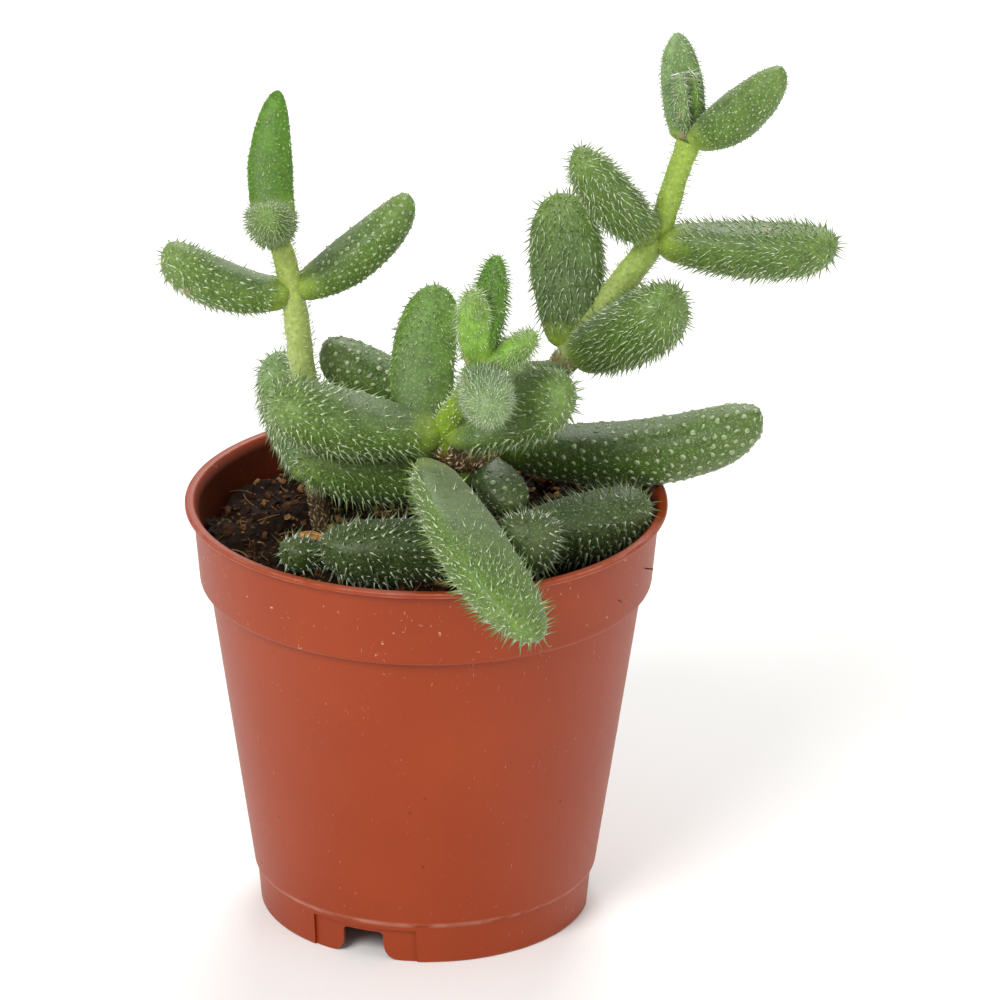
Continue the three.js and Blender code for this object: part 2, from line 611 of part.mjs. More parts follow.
const group = new THREE.Group();
const leaves = [...LEAVES, SOIL_LEAF, ...DRIED_LEAVES];
const probes = new Map(leaves.map((leaf) => [leaf, leafProbe(leaf)]));
const grownStems = Object.values(SHOOTS).map((nodes) => stemBody(nodes, GAP));

group.add(piece('pot', potSolid(), 'pot'));

let soil = soilBody();
for (const stem of grownStems) soil = soil.subtract(stem);
for (const leaf of leaves) soil = soil.subtract(leafBody(leaf, GAP));
group.add(piece('soil', soil, 'soil'));

for (const [name, nodes] of Object.entries(SHOOTS)) {
  const finish = name === 'left' || name === 'right' ? 'fresh_stem' : 'woody_stem';
  group.add(piece(`${name}_stem`, stemBody(nodes), finish));
}

// Each leaf gives way to the stems and to the leaves before it, then takes its bristles.
leaves.forEach((leaf, order) => {
  let body = leafBody(leaf);
  for (const stem of grownStems) body = body.subtract(stem);
  for (const earlier of leaves.slice(0, order)) body = body.subtract(leafBody(earlier, GAP));
  const others = leaves.filter((other) => other !== leaf).map((other) => probes.get(other));
  for (const bristle of bristlePlaces(leaf, 11 + order)) {
    const end = bristle.root.clone().addScaledVector(bristle.direction, BRISTLE_LENGTH);
    const tests = [bristle.root, end];
    const blocked = tests.some((point) => others.some((other) => isInLeaf(other, point))
      || Object.values(SHOOTS).some((nodes) => isInStem(nodes, point)) || isInPotOrSoil(point));
    if (!blocked) body = body.add(bristleSolid(bristle));
  }
  group.add(piece(leaf.name, body, leaf.tone ?? 'mature'));
});

// The origin is below the middle of the whole plant, on the ground.
const box = new THREE.Box3().setFromObject(group);
const middle = box.getCenter(new THREE.Vector3());
group.position.set(-middle.x, -middle.y, 0);
group.updateMatrixWorld(true);

export default group;
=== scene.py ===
# %% [markdown]
# A potted pickle plant
#
# This lesson dresses a pickle plant, a small succulent with plump leaves that look like bristly
# gherkins, in its thin nursery pot. The fixed frame gives the real sizes and places. Here each
# plain solid is replaced by a finer piece of the same form: a moulded pot, crumbly soil, hairy
# stems, and leaves covered with clear domes that each carry one bristle.

import math

import bmesh
import bpy
from mathutils import Matrix, Quaternion, Vector


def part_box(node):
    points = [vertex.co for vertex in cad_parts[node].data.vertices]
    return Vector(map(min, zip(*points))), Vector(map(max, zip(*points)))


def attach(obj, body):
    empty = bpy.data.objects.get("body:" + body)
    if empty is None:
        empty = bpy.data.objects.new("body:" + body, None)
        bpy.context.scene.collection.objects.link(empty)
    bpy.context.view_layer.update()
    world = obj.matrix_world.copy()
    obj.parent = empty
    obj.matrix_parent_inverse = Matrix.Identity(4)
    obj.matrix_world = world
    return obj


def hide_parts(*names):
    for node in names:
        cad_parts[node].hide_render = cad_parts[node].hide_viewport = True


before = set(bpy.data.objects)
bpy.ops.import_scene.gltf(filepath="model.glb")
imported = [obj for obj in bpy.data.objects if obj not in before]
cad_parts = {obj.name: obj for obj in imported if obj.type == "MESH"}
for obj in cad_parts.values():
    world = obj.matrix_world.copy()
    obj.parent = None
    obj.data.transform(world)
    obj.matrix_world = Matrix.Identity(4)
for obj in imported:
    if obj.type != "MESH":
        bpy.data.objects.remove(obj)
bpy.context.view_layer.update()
MM = 0.001

# %% [markdown]
# Everything is laid out in millimetres from the pot's own axis, as a pot maker and a gardener
# would measure it. The frame's origin is elsewhere, so one function turns such a place into the
# frame's metres.

# %% Places round the pot's axis
pot_low, pot_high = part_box("pot")
POT_AXIS = Vector(((pot_low.x + pot_high.x) / 2, (pot_low.y + pot_high.y) / 2, 0.0))


def place(x, y, z):
    """A place given in millimetres from the pot's axis, in the frame's metres."""
    return POT_AXIS + Vector((x, y, z)) * MM


print("pot axis at", [round(c / MM, 2) for c in POT_AXIS], "mm")

# %% [markdown]
# Four small helpers serve all that follows. One turns a colour from the hex form that painters
# use into the linear light that a renderer needs. One adds a node to a tree with its settings,
# and another sets or links a node's inputs. A node that is given as a value stands for its first
# output, so a chain of nodes reads like a chain of steps. The last one fills a colour ramp.

# %% Helpers for colours and nodes
MATH = "ShaderNodeMath"
VECTOR_MATH = "ShaderNodeVectorMath"
MAP_RANGE = "ShaderNodeMapRange"
MIX = "ShaderNodeMix"
NOISE = "ShaderNodeTexNoise"
CELLS = "ShaderNodeTexVoronoi"


def colour(code):
    """Linear red, green, blue and alpha of an sRGB hex colour."""
    shares = [int(code[i:i + 2], 16) / 255 for i in (1, 3, 5)]
    linear = [s / 12.92 if s <= 0.04045 else ((s + 0.055) / 1.055) ** 2.4 for s in shares]
    return (*linear, 1.0)


def feed(tree, node, inputs):
    """Sets or links inputs, given by name, or as a list in the order that the node shows them."""
    shown = [socket for socket in node.inputs if socket.enabled]
    if not isinstance(inputs, dict):
        inputs = dict(enumerate(inputs))
    for key, value in inputs.items():
        socket = next(s for i, s in enumerate(shown) if key in (i, s.name))
        if isinstance(value, bpy.types.Node):
            value = next(output for output in value.outputs if output.enabled)
        if isinstance(value, bpy.types.NodeSocket):
            tree.links.new(value, socket)
        else:
            socket.default_value = value


def add(tree, kind, inputs=(), **settings):
    """Adds one node with its settings and its inputs."""
    made = tree.nodes.new(kind)
    for key, value in settings.items():
        setattr(made, key, value)
    feed(tree, made, inputs)
    return made


def ramp(node, stops):
    """Sets the stops of a colour ramp node, each a position and a hex colour."""
    elements = node.color_ramp.elements
    while len(elements) < len(stops):
        elements.new(1.0)
    for element, (position, code) in zip(elements, stops):
        element.position = position
        element.color = colour(code)


print("a mid green is", [round(c, 3) for c in colour("#55823c")])

# %% [markdown]
# The camera stands where the photographer stood: 90 cm from the pot, 24 degrees above the
# horizon, with a long lens that flattens the view. The picture is turned by less than half a
# degree, as a hand-levelled one is.

# %% Camera
CAMERA_DISTANCE = 900
CAMERA_SLOPE = math.radians(24.22)
CAMERA_PIVOT_Z = 25
CAMERA_LOOKS_AT = (8.387, 0, 49.3)
CAMERA_LENS = 281.5
CAMERA_ROLL = math.radians(0.41)

camera = bpy.data.objects.new("camera", bpy.data.cameras.new("camera"))
bpy.context.scene.collection.objects.link(camera)
camera.data.lens = CAMERA_LENS
camera.data.sensor_width = 36
camera.data.clip_end = 10
camera.location = place(
    0,
    -CAMERA_DISTANCE * math.cos(CAMERA_SLOPE),
    CAMERA_PIVOT_Z + CAMERA_DISTANCE * math.sin(CAMERA_SLOPE),
)
gaze = place(*CAMERA_LOOKS_AT) - camera.location
camera.rotation_mode = "QUATERNION"
camera.rotation_quaternion = gaze.to_track_quat("-Z", "Y") @ Quaternion((0, 0, 1), CAMERA_ROLL)
bpy.context.scene.camera = camera
print("camera", round(gaze.length, 3), "m away")

# %% [markdown]
# Product photographs of plants are taken in a white tent, so light comes from all sides and the
# pot's flanks pick up a pale sheen. A bright plain world makes the tent. A large soft lamp high
# on the left gives the gentle fall from light to dark across the pot, a weaker one fills from
# the right, and one behind lights the hairs from the back.

# %% Studio light
WORLD_STRENGTH = 0.55
LAMPS = [
    # name, place in millimetres, size in millimetres, power in watts
    ("key", (-360, -580, 600), 420, 5.6),
    ("fill", (560, -420, 300), 500, 0.9),
    ("rim", (80, 560, 560), 400, 3.4),
]
LAMPS_AIM = (0, 0, 50)

world = bpy.data.worlds.new("white_tent")
bpy.context.scene.world = world
world.use_nodes = True
world.node_tree.nodes["Background"].inputs["Color"].default_value = colour("#ffffff")
world.node_tree.nodes["Background"].inputs["Strength"].default_value = WORLD_STRENGTH
for name, spot, size, power in LAMPS:
    lamp = bpy.data.objects.new(name, bpy.data.lights.new(name, "AREA"))
    lamp.data.shape = "DISK"
    lamp.data.size = size * MM
    lamp.data.energy = power
    lamp.location = place(*spot)
    lamp.rotation_euler = (place(*LAMPS_AIM) - lamp.location).to_track_quat("-Z", "Y").to_euler()
    bpy.context.scene.collection.objects.link(lamp)
bpy.context.scene.view_settings.view_transform = "Standard"
print(len(LAMPS), "lamps in a white tent")

# %% [markdown]
# The pot stands on a sheet of white card. Card is matt, with a faint grain of pressed fibres,
# so a noise of half a millimetre moves its roughness a little. Every material starts in the same
# way: a shader with the values that are the same all over, and Object coordinates, which are
# real metres on these pieces, for the patterns to follow.

# %% Floor of white card
FLOOR_SIZE = 3.0


def new_material(name, uniform):
    """A node material, with its tree, its shader and its Object coordinates."""
    made = bpy.data.materials.new(name)
    made.use_nodes = True
    tree = made.node_tree
    shader = tree.nodes["Principled BSDF"]
    feed(tree, shader, uniform)
    return made, tree, shader, add(tree, "ShaderNodeTexCoord").outputs["Object"]


def white_card():
    """Matt card: nearly white, with a faint fibre grain."""
    made, tree, shader, spot = new_material("white_card", {"Base Color": colour("#f6f6f4")})
    grain = add(tree, NOISE, {"Vector": spot, "Scale": 1 / (0.5 * MM)})
    feed(tree, shader, {"Roughness": add(tree, MAP_RANGE, [grain, 0, 1, 0.8, 0.95])})
    return made


half = FLOOR_SIZE / 2
floor_corners = [(-half, -half, 0), (half, -half, 0), (half, half, 0), (-half, half, 0)]
floor_mesh = bpy.data.meshes.new("floor")
floor_mesh.from_pydata(floor_corners, [], [(0, 1, 2, 3)])
floor_mesh.materials.append(white_card())
floor = bpy.data.objects.new("floor", floor_mesh)
bpy.context.scene.collection.objects.link(floor)
print("floor", FLOOR_SIZE, "m wide")

# %% [markdown]
# A nursery pot is injection moulded from polypropylene, less than a millimetre thick. It could be
# lathed in one go, but the foot ring has three notches with rounded corners, so the outline is
# spun round the axis first and the notches are cut out of it with a Boolean. The outline's
# corners have small rounds, as a mould's have, because those rounds are what catches the light.

# %% Pot outline
POT_HEIGHT = 49.5
RIM_RADIUS = 27.5
MOUTH_RADIUS = 26.5
RIM_THICKNESS = 0.6
WALL = 0.7
COLLAR_TOP_RADIUS = 26.6
COLLAR_FOOT_RADIUS = 25.8
COLLAR_FOOT_Z = 40
CONE_TOP_RADIUS = 24.8
CONE_FOOT_RADIUS = 19.75
FOOT_STEP = 0.3
FOOT_RADIUS = 19
FOOT_WALL = 0.9
FLOOR_Z = 4.9
FLOOR_THICKNESS = 0.8
STEP_Z = FLOOR_Z + 0.12
DRAIN_RADIUS = 3.5
WEAR_MARGIN = 0.3


def rounded(corners, arc_points=4):
    """An outline with each corner (r, z, round) replaced by an arc-like curve of that round."""
    made = []
    for i, (r, z, size) in enumerate(corners):
        here = Vector((r, z))
        if size == 0:
            made.append(here)
            continue
        before = (Vector(corners[i - 1][:2]) - here).normalized() * size
        after = (Vector(corners[(i + 1) % len(corners)][:2]) - here).normalized() * size
        for k in range(arc_points + 1):
            share = k / arc_points
            made.append(here + before * (1 - share) ** 2 + after * share ** 2)
    return made


def with_margins(points, margin):
    """The outline with a point close to each end of its long lines, so that the wear and painted highlight
    stay at corners.
    """
    made = []
    for here, after in zip(points, points[1:] + points[:1]):
        made.append(here)
        length = (after - here).length
        if length > 3 * margin:
            made.append(here.lerp(after, margin / length))
            made.append(after.lerp(here, margin / length))
    return made


foot_top = CONE_FOOT_RADIUS - FOOT_STEP
rim_underside = POT_HEIGHT - RIM_THICKNESS
floor_top = FLOOR_Z + FLOOR_THICKNESS
POT_OUTLINE = rounded([
    (DRAIN_RADIUS, FLOOR_Z, 0.15),
    (foot_top - FOOT_WALL, FLOOR_Z, 0.3),
    (FOOT_RADIUS - FOOT_WALL, 0, 0.2),
    (FOOT_RADIUS, 0, 0.25),
    (foot_top, FLOOR_Z, 0.08),
    (CONE_FOOT_RADIUS, STEP_Z, 0.1),
    (CONE_TOP_RADIUS, COLLAR_FOOT_Z, 0.25),
    (COLLAR_FOOT_RADIUS, COLLAR_FOOT_Z, 0.45),
    (COLLAR_TOP_RADIUS, rim_underside, 0.3),
    (RIM_RADIUS, rim_underside, 0.2),
    (RIM_RADIUS, POT_HEIGHT, 0.28),
    (MOUTH_RADIUS, POT_HEIGHT, 0.25),
    (COLLAR_TOP_RADIUS - WALL, rim_underside - 0.4, 0.2),
    (COLLAR_FOOT_RADIUS - WALL, COLLAR_FOOT_Z + WALL, 0.2),
    (CONE_TOP_RADIUS - WALL, COLLAR_FOOT_Z + WALL, 0.2),
    (CONE_FOOT_RADIUS - WALL, floor_top, 0.4),
    (DRAIN_RADIUS, floor_top, 0.15),
])
POT_OUTLINE = with_margins(POT_OUTLINE, WEAR_MARGIN)
print(len(POT_OUTLINE), "points round the pot's wall")

# %% [markdown]
# Spinning is a loop over angles: each outline point becomes a ring, and each pair of rings a band
# of faces. The cutters for the notches are small outlines pushed through the foot ring. A wider
# and shallower cut round each notch makes the recessed panel that the mould leaves there.

# %% Spinning, pushing and cutting


def spun(outline, sides):
    """A closed ring of faces: the outline spun round the pot's axis."""
    mesh = bmesh.new()
    rings = []
    for k in range(sides):
        angle = 2 * math.pi * k / sides
        rings.append([
            mesh.verts.new(place(r * math.cos(angle), r * math.sin(angle), z)) for r, z in outline
        ])
    for ring, following in zip(rings, rings[1:] + rings[:1]):
        for i in range(len(outline)):
            j = (i + 1) % len(outline)
            mesh.faces.new((ring[i], following[i], following[j], ring[j]))
    return mesh


def pushed(outline, heading, reach):
    """A block with the given outline across the foot ring, from one radius to another."""
    mesh = bmesh.new()
    turn = Matrix.Rotation(math.radians(heading), 4, "Z")
    ends = []
    for radius in reach:
        ends.append([
            mesh.verts.new(POT_AXIS + turn @ Vector((radius, across, z)) * MM) for across, z in outline
        ])
    mesh.faces.new(ends[0])
    mesh.faces.new(reversed(ends[1]))
    for i in range(len(outline)):
        j = (i + 1) % len(outline)
        mesh.faces.new((ends[0][j], ends[0][i], ends[1][i], ends[1][j]))
    bmesh.ops.recalc_face_normals(mesh, faces=mesh.faces)
    return mesh


def mesh_object(name, mesh):
    """Turns a bmesh into an object in the scene."""
    data = bpy.data.meshes.new(name)
    mesh.to_mesh(data)
    mesh.free()
    made = bpy.data.objects.new(name, data)
    bpy.context.scene.collection.objects.link(made)
    return made


def plain_mesh(thing):
    """The mesh that an object's modifiers make, after which the modifiers are removed."""
    bpy.context.view_layer.update()
    evaluated = thing.evaluated_get(bpy.context.evaluated_depsgraph_get())
    mesh = bpy.data.meshes.new_from_object(evaluated)
    thing.modifiers.clear()
    return mesh


def cut(target, cutters):
    """Cuts the cutters out of the target, for good, and removes them."""
    for cutter in cutters:
        modifier = target.modifiers.new("cut", "BOOLEAN")
        modifier.operation = "DIFFERENCE"
        modifier.solver = "EXACT"
        modifier.object = cutter
    target.data = plain_mesh(target)
    for cutter in cutters:
        bpy.data.objects.remove(cutter)


print("ready to spin, push and cut")

# %% Pot body
POT_SIDES = 144
NOTCH_HEADINGS = (-112, 8, 128)
NOTCH_WIDTH = 4.9
NOTCH_HEIGHT = 3.5
NOTCH_FLARE = 2.0
NOTCH_ROUND = 0.6
PANEL_WIDTH = 12.6
PANEL_HEIGHT = 4.1
PANEL_DEPTH = 0.35
CUTTER_REACH = (FOOT_RADIUS - 5, FOOT_RADIUS + 2)
CUTTER_DROP = 1
SIDE_DRAIN_RADIUS = 2.2
SIDE_DRAIN_DISTANCE = 12.5
SIDE_DRAIN_SIDES = 32
SIDE_DRAIN_DEPTH = 4
SHARP_ANGLE = math.radians(40)


def notch_outline():
    """Rounded at the top corners, and flared where it meets the ground."""
    side = NOTCH_WIDTH / 2
    foot = side + NOTCH_FLARE
    points = [(-foot, -CUTTER_DROP, 0), (-foot, 0, 0), (-side, 0, NOTCH_FLARE)]
    points += [(-side, NOTCH_HEIGHT, NOTCH_ROUND), (side, NOTCH_HEIGHT, NOTCH_ROUND)]
    points += [(side, 0, NOTCH_FLARE), (foot, 0, 0), (foot, -CUTTER_DROP, 0)]
    return rounded(points)


def panel_cutter(heading):
    """A shallow block that leaves the recessed panel: its core, as deep as the panel, is cut away."""
    wide = PANEL_WIDTH / 2
    foot = FOOT_RADIUS - PANEL_DEPTH
    outline = [(-wide, -CUTTER_DROP), (wide, -CUTTER_DROP), (wide, PANEL_HEIGHT), (-wide, PANEL_HEIGHT)]
    core = [(1, -2), (foot, -2), (foot, 0), (foot_top - PANEL_DEPTH, FLOOR_Z), (1, FLOOR_Z)]
    panel = mesh_object("panel", pushed(outline, heading, CUTTER_REACH))
    cut(panel, [mesh_object("core", spun([Vector(p) for p in core], POT_SIDES))])
    return panel


def drain_cutter(heading):
    """A short cylinder through the pot's floor."""
    mesh = bmesh.new()
    spot = Matrix.Rotation(math.radians(heading), 4, "Z") @ Vector((SIDE_DRAIN_DISTANCE, 0, FLOOR_Z))
    bmesh.ops.create_cone(
        mesh, cap_ends=True, segments=SIDE_DRAIN_SIDES, radius1=SIDE_DRAIN_RADIUS * MM,
        radius2=SIDE_DRAIN_RADIUS * MM, depth=SIDE_DRAIN_DEPTH * MM,
        matrix=Matrix.Translation(place(*spot)),
    )
    return mesh_object("drain", mesh)


pot = mesh_object("pot_moulded", spun(POT_OUTLINE, POT_SIDES))
cutters = []
for heading in NOTCH_HEADINGS:
    cutters.append(panel_cutter(heading))
    cutters.append(mesh_object("notch", pushed(notch_outline(), heading, CUTTER_REACH)))
    cutters.append(drain_cutter(heading))
cut(pot, cutters)
pot.data.shade_smooth()
pot.data.set_sharp_from_angle(angle=SHARP_ANGLE)
print("pot", len(pot.data.polygons), "faces")

# %% [markdown]
# Polypropylene with terracotta pigment is satin: it shows soft pale reflections and almost no
# grain. What makes it look real is its history. Faint cloudy patches come from moulding, fine
# scuffs and short pale scratches from handling, mostly on the collar, and tiny dark specks from
# soil. Each of them is a noise of its own real size.

# %% Scratches and scuffs


def handling_marks(tree, spot):
    """How marked the plastic is at a spot, by scratches and by scuffs."""
    # Scratches: a noise drawn out to streaks three millimetres long, of which few are seen.
    drawn = add(tree, "ShaderNodeMapping", {
        "Vector": spot, "Rotation": (0.3, 0.9, 0.4),
        "Scale": (1 / (0.14 * MM), 1 / (0.14 * MM), 1 / (3 * MM)),
    })
    streaks = add(tree, NOISE, {"Vector": drawn, "Scale": 1.0, "Detail": 1})
    patches = add(tree, NOISE, {"Vector": spot, "Scale": 1 / (6 * MM), "Detail": 2})
    thin = add(tree, MAP_RANGE, [streaks, 0.74, 0.8])
    sparse = add(tree, MAP_RANGE, [patches, 0.46, 0.58])
    scratch = add(tree, MATH, [thin, sparse], operation="MULTIPLY")

    # Scuffs: small pale flecks, most of them on the collar.
    flecks = add(tree, NOISE, {"Vector": spot, "Scale": 1 / (0.9 * MM), "Detail": 4, "Roughness": 0.6})
    few = add(tree, MAP_RANGE, [flecks, 0.665, 0.72])
    height = add(tree, "ShaderNodeSeparateXYZ", [spot]).outputs["Z"]
    collar = add(tree, MAP_RANGE, [height, (COLLAR_FOOT_Z - 3) * MM, (COLLAR_FOOT_Z + 2) * MM, 0.12, 1])
    scuff = add(tree, MATH, [few, collar], operation="MULTIPLY")
    return add(tree, MATH, [scratch, scuff], operation="MAXIMUM")


print("scratches and scuffs ready")

# %% Moulded polypropylene


def terracotta_polypropylene():
    """Satin moulded plastic, with faint clouds, scuffs, scratches, specks of soil, a painted highlight on
    its worn corners and painted shade inside.
    """
    made, tree, shader, spot = new_material("terracotta_polypropylene", {
        "IOR": 1.49, "Specular IOR Level": 0.32, "Subsurface Weight": 0.06,
        "Subsurface Radius": (1.0, 0.35, 0.2), "Subsurface Scale": 0.8 * MM,
    })
    edge, inside = (
        add(tree, "ShaderNodeAttribute", attribute_name=label).outputs["Fac"]
        for label in ("edge", "inside")
    )
    clouds = add(tree, NOISE, {"Vector": spot, "Scale": 1 / (14 * MM), "Detail": 3})
    skin = add(tree, "ShaderNodeValToRGB", [clouds])
    ramp(skin, [(0.3, "#8f330b"), (0.7, "#95380d")])

    # Pale corners: worn where the mould's outer corners rub, with a painted highlight along them too,
    # though not evenly.
    rubbed = add(tree, NOISE, {"Vector": spot, "Scale": 1 / (3 * MM), "Detail": 5})
    uneven = add(tree, MAP_RANGE, [rubbed, 0.35, 0.65])
    rub = add(tree, MATH, [edge, uneven], operation="MULTIPLY")
    # Scratches, scuffs and the pale corners with their painted highlight lighten the colour and lower the
    # bump.
    worn = add(tree, MATH, [handling_marks(tree, spot), rub], operation="MAXIMUM")
    faint = add(tree, MATH, [worn, 0.7], operation="MULTIPLY")

    # Specks of soil, a third of a millimetre wide and far apart, and on the inner wall a painted shade,
    # darker in patches.
    cells = add(tree, CELLS, {"Vector": spot, "Scale": 1 / (4.5 * MM)})
    speck = add(tree, MAP_RANGE, [cells, 0.03, 0.045, 0.7, 0])
    stain = add(tree, MAP_RANGE, [rubbed, 0, 1, 0.5, 0.9])
    damp = add(tree, MATH, [inside, stain], operation="MULTIPLY")
    for share, tint in ((faint, "#d9a48d"), (speck, "#43241a"), (damp, "#3a1a10")):
        skin = add(tree, MIX, [share, skin, colour(tint)], data_type="RGBA")

    fine = add(tree, NOISE, {"Vector": spot, "Scale": 1 / (2.5 * MM), "Detail": 5})
    rough = add(tree, MAP_RANGE, [fine, 0, 1, 0.42, 0.48])
    orange_peel = add(tree, NOISE, {"Vector": spot, "Scale": 1 / (0.6 * MM), "Detail": 2})
    relief = add(tree, MATH, [orange_peel, worn], operation="SUBTRACT")
    bump = add(tree, "ShaderNodeBump", {"Height": relief, "Strength": 0.12, "Distance": 0.1 * MM})
    feed(tree, shader, {"Base Color": skin, "Roughness": rough, "Normal": bump})
    return made


pot.data.materials.clear()
pot.data.materials.append(terracotta_polypropylene())
print("pot coloured")

# %% Wear, painted highlight and painted shade on the pot
RUBBED_CORNERS = [
    (foot_top, FLOOR_Z), (CONE_FOOT_RADIUS, STEP_Z), (COLLAR_FOOT_RADIUS, COLLAR_FOOT_Z),
    (RIM_RADIUS, rim_underside), (RIM_RADIUS, POT_HEIGHT), (FOOT_RADIUS, 0),
]
EDGE_REACH = 0.2
WITHIN_WALL = 0.6
ABOVE_FLOOR = 0.4


def mark_pot(mesh):
    """Stores how near each point is to a corner with wear and a painted highlight, and whether it is inside
    the pot, where shade is painted.
    """
    edge = mesh.attributes.new("edge", "FLOAT", "POINT")
    inside = mesh.attributes.new("inside", "FLOAT", "POINT")
    for vertex in mesh.vertices:
        spot = (vertex.co - POT_AXIS) / MM
        here = Vector((math.hypot(spot.x, spot.y), spot.z))
        nearest = min((here - Vector(corner)).length for corner in RUBBED_CORNERS)
        edge.data[vertex.index].value = max(0.0, 1 - nearest / EDGE_REACH)
        up_cone = (here.y - FLOOR_Z) / (COLLAR_FOOT_Z - FLOOR_Z)
        up_collar = (here.y - COLLAR_FOOT_Z) / (rim_underside - COLLAR_FOOT_Z)
        wall = CONE_FOOT_RADIUS + (CONE_TOP_RADIUS - CONE_FOOT_RADIUS) * up_cone
        if here.y > COLLAR_FOOT_Z + WALL / 2:
            wall = COLLAR_FOOT_RADIUS + (COLLAR_TOP_RADIUS - COLLAR_FOOT_RADIUS) * up_collar
        # Points inside the wall, above the floor and below the rim, get the painted shade.
        within = here.x < wall - WALL * WITHIN_WALL and FLOOR_Z + ABOVE_FLOOR < here.y < rim_underside
        inside.data[vertex.index].value = float(within)


mark_pot(pot.data)
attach(pot, "root")
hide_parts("pot")
print("pot dressed")

# %% [markdown]
# The next pieces come out of Geometry Nodes trees. One helper starts a tree with named inputs.
# Another runs a tree on an object and keeps the result as a plain mesh, because an exported
# model can't hold live modifiers or instances. Two more make what several trees share: a skin
# that is a little uneven, and the end of the tree.

# %% Helpers for geometry trees
STORE = "GeometryNodeStoreNamedAttribute"
READ = "GeometryNodeInputNamedAttribute"
SCATTER = "GeometryNodeDistributePointsOnFaces"
RANDOM = "FunctionNodeRandomValue"
GROUP = "GeometryNodeGroup"
JOIN = "GeometryNodeJoinGeometry"
SOCKET_KINDS = {
    float: "NodeSocketFloat", int: "NodeSocketInt",
    "geometry": "NodeSocketGeometry", "material": "NodeSocketMaterial",
}


def new_tree(name, inputs):
    """A geometry tree, its named inputs, each with a first value or a kind, and its output."""
    tree = bpy.data.node_groups.new(name, "GeometryNodeTree")
    for label, value in inputs.items():
        plain = type(value) in SOCKET_KINDS
        kind = SOCKET_KINDS[type(value) if plain else value]
        socket = tree.interface.new_socket(label, in_out="INPUT", socket_type=kind)
        if plain:
            socket.default_value = value
    tree.interface.new_socket("Geometry", in_out="OUTPUT", socket_type=SOCKET_KINDS["geometry"])
    given = {socket.name: socket for socket in tree.nodes.new("NodeGroupInput").outputs}
    return tree, given, tree.nodes.new("NodeGroupOutput")


def grow(host, tree, values):
    """Runs a tree on the host object with the given inputs, and returns the plain mesh it makes."""
    modifier = host.modifiers.new(tree.name, "NODES")
    modifier.node_group = tree
    for item in tree.interface.items_tree:
        if item.in_out == "INPUT" and item.name in values:
            modifier[item.identifier] = values[item.name]
    return plain_mesh(host)


def dented(tree, geometry, noise, height):
    """Moves a surface in and out along its normal, by a share of the height that a noise gives."""
    centred = add(tree, MATH, [noise, 0.5], operation="SUBTRACT")
    depth = add(tree, MATH, [centred, height], operation="MULTIPLY")
    outward = add(tree, "GeometryNodeInputNormal")
    offset = add(tree, VECTOR_MATH, [outward, depth], operation="SCALE")
    return add(tree, "GeometryNodeSetPosition", {"Geometry": geometry, "Offset": offset})


def end_tree(tree, result, parts, material):
    """Joins the parts, makes their instances real, smooths them and gives them the material."""
    joined = add(tree, JOIN)
    for part in parts:
        feed(tree, joined, [part])
    real = add(tree, "GeometryNodeRealizeInstances", {"Geometry": joined})
    smooth = add(tree, "GeometryNodeSetShadeSmooth", {"Geometry": real})
    feed(tree, result, [add(tree, "GeometryNodeSetMaterial", {"Geometry": smooth, "Material": material})])


print("tree helpers ready")

# %% [markdown]
# Every leaf of a pickle plant is a variation on one rule. Along its length it has a waist, a full
# middle and a blunt tip. Across, it is nearly flat on the face that looks to the stem, and round
# on its back. The whole leaf bends along an arc. The tree below starts from a flat grid whose
# first direction runs from base to tip and whose second runs round the leaf, and moves each point
# by that rule. It also stores where each point is, for the bristles and the material to read.

# %% Leaf outline
BASE_ROUND = 0.09
LEAF_SIZES = {
    "Length": 0.02, "Width": 0.008, "Depth": 0.007, "Waist": 0.58, "Widest": 0.6, "Bluntness": 2.5,
    "Bend": 0.2, "Bend Direction": 0.0, "Twist": 0.0,
}


def leaf_fullness(tree, given, along):
    """Share of the full width: it swells to the widest place, and both ends are rounded."""
    swell_angle = add(tree, MAP_RANGE, [along, 0, given["Widest"], 0, math.pi / 2])
    swell = add(tree, MATH, [swell_angle], operation="SINE")
    full = add(tree, MIX, [swell, given["Waist"], 1.0])
    to_tip = add(tree, MAP_RANGE, [along, given["Widest"], 1])
    to_base = add(tree, MAP_RANGE, [along, 0, BASE_ROUND, 1, 0])
    for way_to_end, power in ((to_tip, given["Bluntness"]), (to_base, 2.0)):
        fall = add(tree, MATH, [way_to_end, power], operation="POWER")
        left = add(tree, MATH, [1.0, fall], operation="SUBTRACT")
        cap = add(tree, MATH, [left], operation="SQRT")
        full = add(tree, MATH, [full, cap], operation="MULTIPLY")
    return full


print("a leaf takes", len(LEAF_SIZES), "sizes")

# %% Leaf section
FACE_SHARE = 0.34
FACE_SQUARENESS = 0.6
COMBINE = "ShaderNodeCombineXYZ"
ROTATE = "ShaderNodeVectorRotate"


